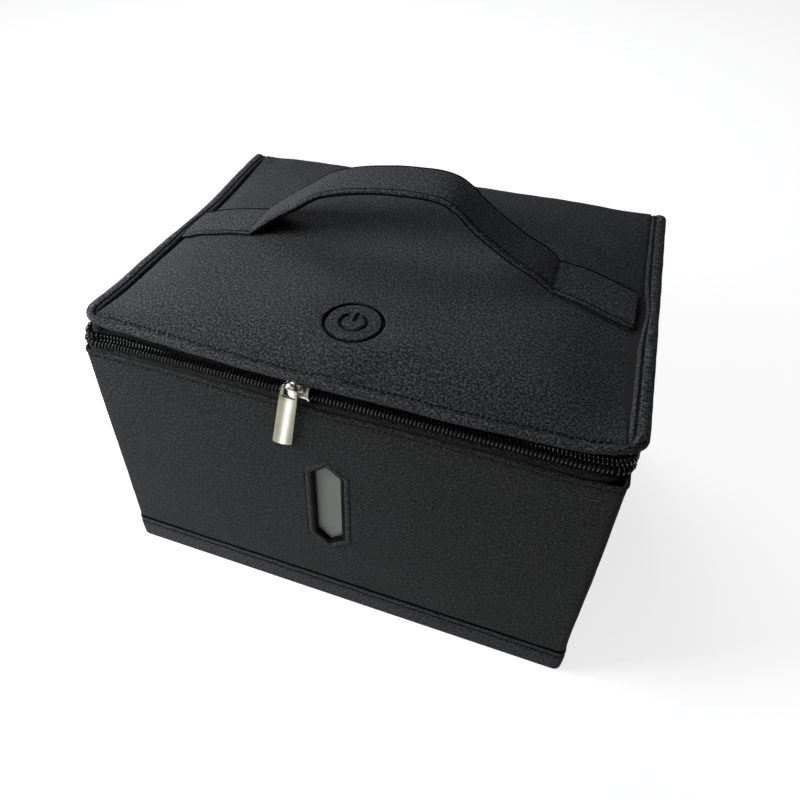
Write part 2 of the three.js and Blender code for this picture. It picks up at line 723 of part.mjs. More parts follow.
function makeLidCover() {
  const upper = crownGrid(panelHalfWidth, -panelFront, halfDepth, 14, 12, lidHeight);
  const lower = crownGrid(panelHalfWidth, -panelFront, halfDepth, 14, 12, (x, y) => lidHeight(x, y) - fabric);
  const corner = rimCorner - rimHalfFront;
  const keep = new THREE.Shape();
  keep.moveTo(panelHalfWidth + overrun, halfDepth + overrun);
  keep.lineTo(-panelHalfWidth - overrun, halfDepth + overrun);
  keep.lineTo(-panelHalfWidth - overrun, corner - panelFront);
  keep.lineTo(-panelHalfWidth, corner - panelFront);
  keep.absarc(corner - panelHalfWidth, corner - panelFront, corner, Math.PI, Math.PI * 1.5, false);
  keep.absarc(panelHalfWidth - corner, corner - panelFront, corner, -Math.PI / 2, 0, false);
  keep.lineTo(panelHalfWidth + overrun, corner - panelFront);
  const keeper = prism(keep, wallTop, lidTop + crownHeight, 4);
  const hole = disc(buttonHole, lidBoardTop, lidTop, 0, buttonY, 28);
  piece(lidGroup, 'lid_top_fabric', cut(overlapOf(quilt(upper, lower), keeper), hole), materials.cloth);

  const backBottom = chainHeight + foldGap;
  const backTop = lidHeight(panelHalfWidth, halfDepth) - fabric - gap;
  const backHalf = halfWidth + rimOverhang / 2;
  const back = block(2 * backHalf, fabric, backTop - backBottom, 0, halfDepth - fabric / 2, backBottom);
  const mouth = inletPrism(gap, fabric + overrun * 2, halfDepth + overrun);
  piece(lidGroup, 'lid_back_fabric', cut(back, mouth), materials.cloth);
}

// The raised seam band: fabric rolled over the lid's edge, open on its inner side
function makeRim() {
  const route = openRoute(
    halfWidth + rimOverhang - rimHalfSide, noseSetBack + rimHalfFront - halfDepth,
    halfDepth - fabric - gap, rimCorner,
  );
  const steps = 8;
  const sectionAt = (station) => {
    const blend = (side, front) => THREE.MathUtils.lerp(side, front, station.frontness);
    const halfOut = blend(rimHalfSide, rimHalfFront);
    const rise = blend(rimRise, rimRiseFront);
    const end = blend(rimEndSide, rimEndFront);
    const arc = (inset) => Array.from({ length: steps + 1 }, (_, i) => {
      const angle = rimStart + ((end - rimStart) * i) / steps;
      return station.place(Math.cos(angle) * (halfOut - inset), rimMiddle + Math.sin(angle) * (rise - inset));
    });
    return [...arc(0), ...arc(fabric).reverse()];
  };
  const stations = route.stops(7).map(route.at);
  const outline = sectionAt(stations[0]).map((p) => new THREE.Vector2(p.x, p.z));
  piece(lidGroup, 'lid_rim', skin(stations.map(sectionAt), outline), materials.cloth);
}

// Wires lie on the lid's board; each is a bent tube in a squared channel

function wireAlong(points) {
  const ring = new THREE.Shape().absarc(0, 0, wireRadius, 0, Math.PI * 2, false);
  const path = new THREE.CatmullRomCurve3(points, false, 'catmullrom', 0.2);
  const steps = points.length * 3;
  return new THREE.ExtrudeGeometry(ring, { steps, bevelEnabled: false, extrudePath: path, curveSegments: 3 });
}

function channelsAlong(points) {
  return points.slice(1).map((end, i) => {
    const box = new THREE.Box3().setFromPoints([points[i], end]).expandByScalar(wireRadius + gap);
    const size = box.getSize(new THREE.Vector3());
    const centre = box.getCenter(new THREE.Vector3());
    return new THREE.BoxGeometry(size.x, size.y, size.z).translate(centre.x, centre.y, centre.z);
  });
}

const wireLevel = electricsBottom + wireRadius;
const circuitBack = buttonY + circuitDepth / 2 + gap;
const circuitRight = circuitWidth / 2 + gap;
const stripTop = liningBottom - gap;
const wireTurn = wireRadius * 3;
const stripPlace = -(circuitBack + stripClear + stripWidth / 2);
const ledSpacing = stripLength / ledCount;

function ledWire(x, endY) {
  return [
    new THREE.Vector3(x, circuitBack, wireLevel),
    new THREE.Vector3(x, endY - wireTurn * 2, wireLevel),
    new THREE.Vector3(x, endY - wireTurn / 2, wireLevel - wireRadius / 2),
    new THREE.Vector3(x, endY, wireLevel - wireTurn),
    new THREE.Vector3(x, endY, stripTop + gap),
  ];
}

const wires = {
  wire_front_leds: ledWire(-wirePlace, -stripPlace + wireTurn),
  wire_rear_leds: ledWire(wirePlace, stripPlace),
  wire_power: [
    new THREE.Vector3(inletPlace, halfDepth - fabric - inletDepth - gap, wireLevel),
    new THREE.Vector3(inletPlace, halfDepth / 2, wireLevel),
    new THREE.Vector3(inletPlace, buttonY + wireTurn * 3, wireLevel),
    new THREE.Vector3(inletPlace - wireTurn, buttonY + wireTurn, wireLevel),
    new THREE.Vector3(inletPlace - wireTurn * 3, buttonY, wireLevel),
    new THREE.Vector3(circuitRight, buttonY, wireLevel),
  ],
};

// The power inlet's rounded mouth as a prism that ends at `back`, `margin` wider all round
function inletPrism(margin, depth, back) {
  const halfX = inletWidth / 2 + margin;
  const halfZ = inletHeight / 2 + margin;
  const outline = roundedOutline(halfX, -halfZ, halfZ, halfZ * 0.9);
  return prism(outline, 0, depth, 4)
    .rotateX(Math.PI / 2)
    .translate(inletPlace, back, lidBoardBottom + inletHeight / 2 + gap * 2);
}

function makeInlet() {
  const back = halfDepth - gap;
  const hollow = inletPrism(-inletWall, inletDepth - inletWall * 2, back + inletWall);
  const shell = cut(inletPrism(0, inletDepth, back), hollow);
  const tongue = block(
    inletWidth * 0.7, inletDepth - inletWall * 2, inletTongue,
    inletPlace, back - inletDepth / 2 - inletWall / 2,
    lidBoardBottom + inletHeight / 2 + gap * 2 - inletTongue / 2,
  );
  piece(lidGroup, 'power_inlet', join(shell, tongue), materials.aluminium);
}

function makeLidInside() {
  const plan = roundedOutline(lidBoardHalf, -lidBoardFront, lidBoardBack, boardClear - boardInset);
  const wireHoles = Object.values(wires).slice(0, 2).map((points) => disc(
    wireTurn, liningBottom - overrun, board + foil + overrun * 3,
    points[0].x, points[points.length - 1].y, 10,
  ));
  const lining = cut(prism(plan, liningBottom, foil, 3), ...wireHoles);
  piece(lidGroup, 'lid_lining', lining, materials.foil);

  const inletRoom = block(
    inletWidth + gap * 2, inletDepth + gap * 2 + overrun, board + inletHeight + overrun,
    inletPlace, halfDepth - fabric - (inletDepth + gap * 2 - overrun) / 2, lidBoardBottom - overrun,
  );
  const lidBoard = cut(prism(plan, lidBoardBottom, board, 3), inletRoom, ...wireHoles);
  piece(lidGroup, 'lid_board', lidBoard, materials.stiffener);

  const foamHalf = panelHalfWidth - foamInset;
  const foamFront = foamInset - panelFront;
  const foamBack = lidBoardBack - foamInset;
  const under = (x, y) => lidHeight(x, y) - fabric - gap * 3;
  const upper = crownGrid(foamHalf, foamFront, foamBack, 10, 8, under);
  const lower = crownGrid(foamHalf, foamFront, foamBack, 10, 8, () => electricsBottom);
  const pocketHeight = circuitThickness + chipHeight + gap * 4;
  const tools = [
    block(
      circuitWidth + gap * 2, circuitDepth + gap * 2, pocketHeight + overrun,
      0, buttonY, electricsBottom - overrun,
    ),
    disc(buttonHole + bezelFlange + gap, lidBoardTop, lidTop, 0, buttonY, 28),
    block(
      reedLength + gap * 2, reedRadius * 2 + gap * 2, reedRadius * 2 + gap + overrun,
      reedPlace, reedSetBack - halfDepth, electricsBottom - overrun,
    ),
    ...Object.values(wires).flatMap(channelsAlong),
  ];
  piece(lidGroup, 'lid_foam', cut(quilt(upper, lower), ...tools, inletRoom), materials.foam);

  const circuit = block(circuitWidth, circuitDepth, circuitThickness, 0, buttonY, electricsBottom);
  piece(lidGroup, 'control_board', circuit, materials.circuit);
  const chipBottom = electricsBottom + circuitThickness + gap;
  const chip = block(chipWidth, chipDepth, chipHeight, chipShift, buttonY, chipBottom);
  piece(lidGroup, 'driver_chip', chip, materials.plastic);

  const reed = new THREE.CapsuleGeometry(reedRadius, reedLength - reedRadius * 2, 2, 8)
    .rotateZ(Math.PI / 2)
    .translate(reedPlace, reedSetBack - halfDepth, electricsBottom + reedRadius);
  piece(lidGroup, 'reed_switch', reed, materials.clear);

  for (const [name, points] of Object.entries(wires)) {
    piece(lidGroup, name, wireAlong(points), materials.wire);
  }
}

function makeLights() {
  const stripBottom = stripTop - stripThickness;
  const ledTop = stripBottom - gap;
  const lensProfile = [new THREE.Vector2(0, -lensRadius)];
  for (let i = 1; i <= 3; i += 1) {
    const angle = ((i - 3) * Math.PI) / 6;
    lensProfile.push(new THREE.Vector2(lensRadius * Math.cos(angle), lensRadius * Math.sin(angle)));
  }
  lensProfile.push(new THREE.Vector2(lensRadius, ledHeight / 2), new THREE.Vector2(0, ledHeight / 2));
  for (const [row, y] of [['front', -stripPlace], ['rear', stripPlace]]) {
    const strip = block(stripLength, stripWidth, stripThickness, 0, y, stripBottom);
    piece(lidGroup, `led_strip_${row}`, strip, materials.aluminium);
    for (let i = 0; i < ledCount; i += 1) {
      const x = (i - (ledCount - 1) / 2) * ledSpacing;
      const base = block(ledSide, ledSide, ledHeight, 0, 0, 0);
      const lens = new THREE.LatheGeometry(lensProfile, 8).rotateX(Math.PI / 2);
      const led = join(base, lens).translate(x, y, ledTop - ledHeight);
      piece(lidGroup, `led_${row}_${i + 1}`, led, materials.ceramic);
    }
    const coverHeight = stripTop - ledTop + ledHeight + lensRadius + gap + coverWall;
    const coverBottom = stripTop - coverHeight;
    const coverLength = stripLength + 2 * (coverWall + gap);
    const cover = cut(
      block(coverLength, coverWidth, coverHeight, 0, y, coverBottom),
      block(stripLength + gap * 2, coverWidth - coverWall * 2, coverHeight, 0, y, coverBottom + coverWall),
    );
    piece(lidGroup, `led_cover_${row}`, cover, materials.clear);
  }
}

// Power button: a cap in a bezel ring over a press switch on the control board

function makeButton() {
  const capTop = lidHeight(0, buttonY);
  const capBottom = capTop - capThickness;
  const floorTop = capBottom - capTravel - gap;
  const floorBottom = floorTop - bezelFloor;
  const boreRadius = capRadius + gap;
  const wallRadius = Math.min(boreRadius + bezelWall, buttonHole - gap);
  const wallHeight = capTop - gap * 4;
  const flangeRadius = wallRadius + bezelFlange;
  const floorHole = (switchSide * Math.SQRT2) / 2 + gap * 2;
  const profile = [
    [floorHole, floorBottom], [flangeRadius, floorBottom], [flangeRadius, floorTop],
    [wallRadius, floorTop], [wallRadius, wallHeight], [boreRadius, wallHeight],
    [boreRadius, floorTop], [floorHole, floorTop], [floorHole, floorBottom],
  ].map(([radius, height]) => new THREE.Vector2(radius, height));
  const bezel = new THREE.LatheGeometry(profile, 24).rotateX(Math.PI / 2).translate(0, buttonY, 0);
  piece(lidGroup, 'button_bezel', bezel, materials.plastic);

  const cap = disc(capRadius, capBottom, capThickness, 0, buttonY, 32);
  const arc = new THREE.Shape();
  const openHalf = Math.PI / 6;
  const inner = symbolRadius - symbolLine;
  arc.absarc(0, 0, symbolRadius, Math.PI / 2 + openHalf, Math.PI * 2.5 - openHalf, false);
  arc.absarc(0, 0, inner, Math.PI * 2.5 - openHalf, Math.PI / 2 + openHalf, true);
  const groove = prism(arc, capTop - symbolDepth, symbolDepth + overrun, 14).translate(0, buttonY, 0);
  const bar = block(
    symbolLine, symbolBar, symbolDepth + overrun,
    0, buttonY + symbolRadius - symbolBar / 2, capTop - symbolDepth,
  );
  piece(lidGroup, 'power_button', cut(cap, groove, bar), materials.darkCloth);

  const switchBottom = electricsBottom + circuitThickness + gap;
  const plungerTop = capBottom - gap;
  const switchTop = plungerTop - capTravel - gap;
  const boreDepth = plungerDepth + capTravel + gap;
  const switchBody = cut(
    block(switchSide, switchSide, switchTop - switchBottom, 0, buttonY, switchBottom),
    disc(plungerRadius + gap, switchTop - boreDepth, boreDepth + overrun, 0, buttonY, 16),
  );
  piece(lidGroup, 'press_switch', switchBody, materials.plastic);
  const plungerBottom = switchTop - plungerDepth;
  const plunger = disc(plungerRadius, plungerBottom, plungerTop - plungerBottom, 0, buttonY, 16);
  piece(lidGroup, 'switch_plunger', plunger, materials.ceramic);
}

// Handle: two layers of cloth sewn flat to the lid at both ends, arched between the cross seams

function strapCurve() {
  const endX = panelHalfWidth - gap;
  const onLid = (x) => new THREE.Vector3(x, 0, lidHeight(x, strapPlace) + gap);
  const stitchHeight = onLid(stitchPlace).z;
  const tab = tabPlaceShares.map((share) => Math.min(stitchPlace * share, endX));
  const arch = archPlaceShares.map((share, i) => new THREE.Vector3(
    stitchPlace * share, 0, stitchHeight + archRise * archHeightShares[i],
  ));
  const points = [...tab.map((x) => onLid(-x)), ...arch, ...tab.map(onLid).reverse()];
  return new THREE.CatmullRomCurve3(points, false, 'centripetal');
}

function strapLayerBody(from, to, width) {
  const curve = strapCurve();
  const steps = 48;
  const rings = [];
  for (let i = 0; i <= steps; i += 1) {
    const point = curve.getPoint(i / steps);
    const along = curve.getTangent(i / steps);
    const normal = new THREE.Vector3(-along.z, 0, along.x);
    const at = (y, lift) => point.clone().addScaledVector(normal, lift).setY(strapPlace + y);
    rings.push([at(-width / 2, from), at(width / 2, from), at(width / 2, to), at(-width / 2, to)]);
  }
  const outline = [[-1, 0], [1, 0], [1, 1], [-1, 1]].map(([x, y]) => new THREE.Vector2(x, y));
  return skin(rings, outline);
}

function makeHandle() {
  const seam = strapLayer + gap;
  piece(lidGroup, 'handle_backing', strapLayerBody(0, strapLayer, strapWidth), materials.darkCloth);
  piece(lidGroup, 'handle_strap', strapLayerBody(seam, seam + strapLayer, strapWidth), materials.cloth);
}

makeBase();
makeWalls();
makeZipper();
makeSlider();
makeLidCover();
makeRim();
makeLidInside();
makeInlet();
makeLights();
makeButton();
makeHandle();

export default bag;
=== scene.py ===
# Zipped cloth box with a padded lid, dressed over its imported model
import json
import math

import bmesh
import bpy
from mathutils import Matrix, Vector, noise


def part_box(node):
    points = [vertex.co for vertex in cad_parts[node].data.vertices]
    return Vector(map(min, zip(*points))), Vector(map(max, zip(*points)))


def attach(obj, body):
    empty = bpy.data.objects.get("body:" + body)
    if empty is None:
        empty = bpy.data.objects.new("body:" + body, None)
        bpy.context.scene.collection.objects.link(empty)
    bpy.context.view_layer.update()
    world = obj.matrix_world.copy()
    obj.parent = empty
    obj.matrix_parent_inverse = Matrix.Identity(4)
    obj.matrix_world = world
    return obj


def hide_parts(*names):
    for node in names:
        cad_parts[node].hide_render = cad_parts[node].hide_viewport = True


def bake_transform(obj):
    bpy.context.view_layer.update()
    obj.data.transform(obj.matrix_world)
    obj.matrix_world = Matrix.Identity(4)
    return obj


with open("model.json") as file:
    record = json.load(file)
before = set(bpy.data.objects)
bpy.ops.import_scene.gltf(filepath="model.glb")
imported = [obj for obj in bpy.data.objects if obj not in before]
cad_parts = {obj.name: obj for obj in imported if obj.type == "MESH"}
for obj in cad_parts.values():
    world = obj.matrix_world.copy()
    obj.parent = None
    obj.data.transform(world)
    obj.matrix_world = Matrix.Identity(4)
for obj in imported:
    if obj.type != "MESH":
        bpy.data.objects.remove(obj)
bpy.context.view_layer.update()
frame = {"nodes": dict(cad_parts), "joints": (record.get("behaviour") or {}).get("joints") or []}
mm = 0.001  # every length below is in millimetres times this
print("stage: frame loaded,", len(frame["nodes"]), "nodes")

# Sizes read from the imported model
wallLow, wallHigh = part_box("wall_fabric")
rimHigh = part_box("lid_rim")[1]
panelLow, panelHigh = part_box("lid_top_fabric")
facingLow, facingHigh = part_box("window_facing")
capLow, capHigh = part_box("power_button")
strapLow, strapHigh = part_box("handle_strap")
linerLow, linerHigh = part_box("wall_liner")
liningLow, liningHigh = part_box("lid_lining")
halfWidth = wallHigh.x
halfDepth = wallHigh.y
levels = {"fold": 0.3 * mm, "edge": 3.4 * mm}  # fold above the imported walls, walls' edge below the fold
foldHeight = wallHigh.z + levels["fold"]  # the line that the lid turns on
wallTop = foldHeight - levels["edge"]  # top edge of the body at the front and sides
swing = [j for j in frame["joints"] if j["name"] == "pull_swing"][0]
upward = Vector((0, 0, 1))


# Small sums

def mix(a, b, t):
    return a + (b - a) * t


def clamp(t):
    return max(0.0, min(1.0, t))


def ease(t):
    t = clamp(t)
    return t * t * (3 - 2 * t)


def hump(distance, width):
    return math.exp(-((distance / width) ** 2))


# a smooth value between the two nearest entries of a table of (place, value) pairs
def between(table, place):
    if place <= table[0][0]:
        return table[0][1]
    for (a, low), (b, high) in zip(table, table[1:]):
        if place <= b:
            return mix(low, high, ease((place - a) / (b - a)))
    return table[-1][1]


def unrest(point, size, seed=0.0):
    return noise.noise(Vector((point[0] / size + seed, point[1] / size - seed, point[2] / size + 2 * seed)))


# slow unevenness of cloth, as a depth at a point
def ripple(point, look):
    return unrest(point, look["size"], look["seed"]) * look["depth"]


# keeps the sign of a value while it is raised to a power
def signedPower(value, power):
    return math.copysign(abs(value) ** power, value)


def roundAngles(count):
    return [2 * math.pi * k / count for k in range(count)]


# direction of a line of points at one of them
def directionAt(points, index):
    return (points[min(index + 1, len(points) - 1)] - points[max(index - 1, 0)]).normalized()


# Camera

shot = {
    "place": (76.76 * mm, -259.31 * mm, 317.84 * mm),
    "turn": 21.58,  # degrees to the left, as it looks towards the back
    "dip": -40.96,  # degrees that it looks down
    "roll": 1.21,
    "lens": 31.52,
    "sensor": 36,
    "shift": (0.0688, -0.0433),
    "nearest": 10 * mm,
}


def placeCamera():
    data = bpy.data.cameras.new("camera")
    data.sensor_width = shot["sensor"]
    data.lens = shot["lens"]
    data.shift_x, data.shift_y = shot["shift"]
    data.clip_start = shot["nearest"]
    camera = bpy.data.objects.new("camera", data)
    turn = Matrix.Rotation(math.radians(shot["turn"]), 4, "Z")
    dip = Matrix.Rotation(math.radians(shot["dip"]), 4, "X")
    roll = Matrix.Rotation(math.radians(shot["roll"]), 4, "Y")
    upright = Matrix.Rotation(math.pi / 2, 4, "X")
    camera.matrix_world = Matrix.Translation(shot["place"]) @ turn @ dip @ roll @ upright
    bpy.context.scene.collection.objects.link(camera)
    bpy.context.scene.camera = camera


placeCamera()
print("stage: camera placed")


# Shader node groups, built once and placed in each material with its own values

# a group that takes coordinates and plain values, and gives plain values
def newGroup(name, values, results):
    group = bpy.data.node_groups.new(name, "ShaderNodeTree")
    group.interface.new_socket("Coordinates", in_out="INPUT", socket_type="NodeSocketVector")
    for label, value in values.items():
        socket = group.interface.new_socket(label, in_out="INPUT", socket_type="NodeSocketFloat")
        socket.default_value = value
    for label in results:
        group.interface.new_socket(label, in_out="OUTPUT", socket_type="NodeSocketFloat")
    return group, group.nodes.new("NodeGroupInput"), group.nodes.new("NodeGroupOutput")


# gives a socket a plain value, or links it to the node that makes the value
def feed(tree, socket, value):
    if isinstance(value, (int, float, tuple)):
        socket.default_value = value
    else:
        tree.links.new(value, socket)


def mathNode(tree, operation, *values, clampIt=False):
    node = tree.nodes.new("ShaderNodeMath")
    node.operation = operation
    node.use_clamp = clampIt
    for socket, value in zip(node.inputs, values):
        feed(tree, socket, value)
    return node.outputs[0]


def times(tree, a, b, clampIt=False):
    return mathNode(tree, "MULTIPLY", a, b, clampIt=clampIt)


def plus(tree, a, b, clampIt=False):
    return mathNode(tree, "ADD", a, b, clampIt=clampIt)


def minus(tree, a, b):
    return mathNode(tree, "SUBTRACT", a, b)


def noiseNode(tree, vector, scale, detail=2.0, roughness=0.5):
    node = tree.nodes.new("ShaderNodeTexNoise")
    node.inputs["Scale"].default_value = scale
    node.inputs["Detail"].default_value = detail
    node.inputs["Roughness"].default_value = roughness
    tree.links.new(vector, node.inputs["Vector"])
    return node.outputs["Fac"]


def vectorOf(tree, *values):
    node = tree.nodes.new("ShaderNodeCombineXYZ")
    for socket, value in zip(node.inputs, values):
        feed(tree, socket, value)
    return node.outputs[0]


def blendColours(tree, factor, first, second):
    node = tree.nodes.new("ShaderNodeMix")
    node.data_type = "RGBA"
    feed(tree, node.inputs["Factor"], factor)
    feed(tree, node.inputs[6], first)
    feed(tree, node.inputs[7], second)
    return node.outputs[2]


weaveLook = {
    "streak": 0.22,  # how quickly the tone changes along a thread
    "apart": 7.3,  # keeps the two directions' threads from sharing a tone
    "contrast": 4.0,
    "darkest": 0.25,
}


def makeWeaveGroup():
    # warp and weft threads over and under each other, each thread with its own streaky tone
    values = {"Thread Size": 0.45 * mm, "Heather": 0.4}
    group, start, end = newGroup("wovenThreads", values, ("Tone", "Height"))
    split = group.nodes.new("ShaderNodeSeparateXYZ")
    group.links.new(start.outputs["Coordinates"], split.inputs[0])
    u = mathNode(group, "DIVIDE", split.outputs[0], start.outputs["Thread Size"])
    v = mathNode(group, "DIVIDE", split.outputs[1], start.outputs["Thread Size"])
    column = mathNode(group, "FLOOR", u)
    row = mathNode(group, "FLOOR", v)
    crossing = plus(group, column, row)
    over = mathNode(group, "GREATER_THAN", mathNode(group, "FLOORED_MODULO", crossing, 2.0), 0.5)
    warpRound = mathNode(group, "ABSOLUTE", mathNode(group, "SINE", times(group, u, math.pi)))
    weftRound = mathNode(group, "ABSOLUTE", mathNode(group, "SINE", times(group, v, math.pi)))
    both = times(group, warpRound, weftRound)
    alongWarp = times(group, v, weaveLook["streak"])
    alongWeft = times(group, u, weaveLook["streak"])
    warpStreak = noiseNode(group, vectorOf(group, column, alongWarp), 1.0, 1.0)
    weftStreak = noiseNode(group, vectorOf(group, alongWeft, row, weaveLook["apart"]), 1.0, 1.0)
    pick = group.nodes.new("ShaderNodeMix")
    group.links.new(over, pick.inputs[0])
    group.links.new(warpStreak, pick.inputs[2])
    group.links.new(weftStreak, pick.inputs[3])
    centred = minus(group, pick.outputs[0], 0.5)
    streak = times(group, centred, weaveLook["contrast"])
    spread = times(group, streak, start.outputs["Heather"])
    tone = mathNode(group, "MAXIMUM", plus(group, spread, 1.0), weaveLook["darkest"])
    group.links.new(tone, end.inputs["Tone"])
    group.links.new(both, end.inputs["Height"])
    return group


def makeGrainGroup():
    # fine moulded grain with slow patches of tone
    values = {"Grain Scale": 1500.0, "Patch Scale": 40.0, "Contrast": 0.15}
    group, start, end = newGroup("fineGrain", values, ("Tone", "Height"))
    fine = group.nodes.new("ShaderNodeTexNoise")
    slow = group.nodes.new("ShaderNodeTexNoise")
    for node, label in ((fine, "Grain Scale"), (slow, "Patch Scale")):
        group.links.new(start.outputs["Coordinates"], node.inputs["Vector"])
        group.links.new(start.outputs[label], node.inputs["Scale"])
        node.inputs["Detail"].default_value = 3.0
    both = plus(group, fine.outputs["Fac"], slow.outputs["Fac"])
    offset = times(group, minus(group, both, 1.0), start.outputs["Contrast"])
    group.links.new(plus(group, offset, 1.0), end.inputs["Tone"])
    group.links.new(fine.outputs["Fac"], end.inputs["Height"])
    return group


lintLook = {"least": 0.66, "sharpness": 9.0, "upward": 0.6, "sideways": 0.4}


def makeLintGroup():
    # pale specks of lint and dust that gather on upward faces
    group, start, end = newGroup("lintAndDust", {"Amount": 0.2, "Speck Scale": 900.0}, ("Mask",))
    speck = group.nodes.new("ShaderNodeTexNoise")
    group.links.new(start.outputs["Coordinates"], speck.inputs["Vector"])
    group.links.new(start.outputs["Speck Scale"], speck.inputs["Scale"])
    speck.inputs["Detail"].default_value = 1.0
    over = minus(group, speck.outputs["Fac"], lintLook["least"])
    sharp = times(group, over, lintLook["sharpness"], clampIt=True)
    geometry = group.nodes.new("ShaderNodeNewGeometry")
    split = group.nodes.new("ShaderNodeSeparateXYZ")
    group.links.new(geometry.outputs["Normal"], split.inputs[0])
    facingUp = times(group, split.outputs[2], lintLook["upward"])
    settled = plus(group, facingUp, lintLook["sideways"], clampIt=True)
    mask = times(group, times(group, sharp, settled), start.outputs["Amount"])
    group.links.new(mask, end.inputs["Mask"])
    return group


weaveGroup = makeWeaveGroup()
grainGroup = makeGrainGroup()
lintGroup = makeLintGroup()


def placeGroup(tree, group, vector, **values):
    node = tree.nodes.new("ShaderNodeGroup")
    node.node_tree = group
    tree.links.new(vector, node.inputs["Coordinates"])
    for label, value in values.items():
        node.inputs[label.replace("_", " ")].default_value = value
    return node


def newMaterial(name, roughness, metallic=0.0):
    material = bpy.data.materials.new(name)
    material.use_nodes = True
    tree = material.node_tree
    shader = tree.nodes["Principled BSDF"]
    shader.inputs["Roughness"].default_value = roughness
    shader.inputs["Metallic"].default_value = metallic
    coordinates = tree.nodes.new("ShaderNodeTexCoord")
    return material, tree, shader, coordinates.outputs


def scaledColour(tree, colour, tone):
    node = tree.nodes.new("ShaderNodeVectorMath")
    node.operation = "SCALE"
    feed(tree, node.inputs[0], colour)
    tree.links.new(tone, node.inputs["Scale"])
    return node.outputs[0]


def addBump(tree, shader, height, distance, strength=1.0):
    bump = tree.nodes.new("ShaderNodeBump")
    bump.inputs["Distance"].default_value = distance
    bump.inputs["Strength"].default_value = strength
    tree.links.new(height, bump.inputs["Height"])
    tree.links.new(bump.outputs["Normal"], shader.inputs["Normal"])


def clothMaterial(name, look):
    material, tree, shader, places = newMaterial(name, look["roughness"])
    flat = places["UV"]
    weave = placeGroup(tree, weaveGroup, flat, Thread_Size=look["thread"], Heather=look["heather"])
    patches = noiseNode(tree, places["Object"], look["patchScale"], 3.0)
    patchSpread = times(tree, patches, look["patch"])
    patchTone = plus(tree, patchSpread, 1 - look["patch"] / 2)
    # painted shade: the gaps between threads darker than their tops
    threadTone = times(tree, weave.outputs["Height"], look["relief"])
    hollow = plus(tree, threadTone, look["hollow"])
    clump = noiseNode(tree, flat, look["clumpScale"], 2.0, look["clumpRoughness"])
    spread = times(tree, minus(tree, clump, 0.5), look["clump"])
    clumpTone = mathNode(tree, "MAXIMUM", plus(tree, spread, 1.0), look["darkest"])
    tone = times(tree, times(tree, weave.outputs["Tone"], patchTone), hollow)
    tone = times(tree, tone, clumpTone)
    woven = scaledColour(tree, look["colour"], tone)
    lint = placeGroup(tree, lintGroup, places["Object"], Amount=look["lint"])
    coloured = blendColours(tree, lint.outputs["Mask"], woven, look["lintColour"])
    tree.links.new(coloured, shader.inputs["Base Color"])
    for label, value in look["sockets"].items():
        shader.inputs[label].default_value = value
    shader.inputs["Sheen Weight"].default_value = look["sheen"]
    addBump(tree, shader, weave.outputs["Height"], look["thread"] * look["threadHeight"], look["bump"])
    return material


lidLook = {
    "colour": (0.06, 0.0612, 0.0655),
    "thread": 0.5 * mm,
    "threadHeight": 0.35,  # in thread widths
    "heather": 0.6,
    "relief": 0.7,  # painted shade: how much paler the top of a thread is than the gap beside it
    "hollow": 0.55,
    "clump": 9.5,
    "clumpScale": 1000.0,
    "clumpRoughness": 0.65,
    "darkest": 0.3,
    "patch": 0.35,
    "patchScale": 55.0,
    "roughness": 0.9,
    "sheen": 0.12,
    "sockets": {"Sheen Roughness": 0.45, "Sheen Tint": (0.75, 0.78, 0.85, 1.0), "Specular IOR Level": 0.25},
    "lint": 0.2,
    "lintColour": (0.22, 0.23, 0.25, 1.0),
    "bump": 0.8,
}
bodyLook = dict(lidLook, colour=(0.043, 0.0433, 0.0442), clump=7.5, sheen=0.06, lint=0.12)
# the seam band's and handle's cloth: the lid's cloth made paler, as painted light on the raised band
bandLook = dict(lidLook, colour=(0.074, 0.076, 0.0825), thread=0.45 * mm, lint=0.1)
# the underside's cloth, also used as painted shade in grooves and in the pressed symbol
darkLook = dict(lidLook, colour=(0.014, 0.0145, 0.017), heather=0.25, sheen=0.03, lint=0.1)
lidCloth = clothMaterial("lidCloth", lidLook)
bodyCloth = clothMaterial("bodyCloth", bodyLook)
bandCloth = clothMaterial("bandCloth", bandLook)
darkCloth = clothMaterial("darkCloth", darkLook)
hemCloth = clothMaterial("hemCloth", dict(bodyLook, colour=(0.066, 0.0725, 0.078)))
lipCloth = clothMaterial("lipCloth", dict(bodyLook, colour=(0.058, 0.059, 0.0615)))
capCloth = clothMaterial("capCloth", dict(lidLook, colour=(0.052, 0.053, 0.055)))
tapeLook = dict(darkLook, colour=(0.024, 0.0245, 0.025), thread=0.35 * mm, lint=0.05)
tapeCloth = clothMaterial("tapeCloth", tapeLook)


plainGrain = {
    "roughness": 0.5,
    "metallic": 0.0,
    "grain": 1500.0,
    "patch": 40.0,
    "contrast": 0.15,
    "bump": 0.02 * mm,
    "specular": 0.5,
    "wear": 0.8,  # how far the roughness follows the tone
}


def grainMaterial(name, colour, roughness, **changes):
    look = dict(plainGrain, roughness=roughness, **changes)
    material, tree, shader, places = newMaterial(name, roughness, look["metallic"])
    shader.inputs["Specular IOR Level"].default_value = look["specular"]
    values = {"Grain_Scale": look["grain"], "Patch_Scale": look["patch"], "Contrast": look["contrast"]}
    node = placeGroup(tree, grainGroup, places["Object"], **values)
    tree.links.new(scaledColour(tree, colour, node.outputs["Tone"]), shader.inputs["Base Color"])
    change = times(tree, minus(tree, node.outputs["Tone"], 1.0), look["wear"])
    tree.links.new(plus(tree, change, roughness, clampIt=True), shader.inputs["Roughness"])
    addBump(tree, shader, node.outputs["Height"], look["bump"])
    return material


foilLook = {
    "colour": (0.55, 0.57, 0.6),
    "roughness": 0.32,
    "metallic": 0.9,
    "creaseScale": 120.0,
    "creaseWidth": 0.2,
    "grain": 0.15,
    "depth": 1.2 * mm,
    "bump": 0.6,
}


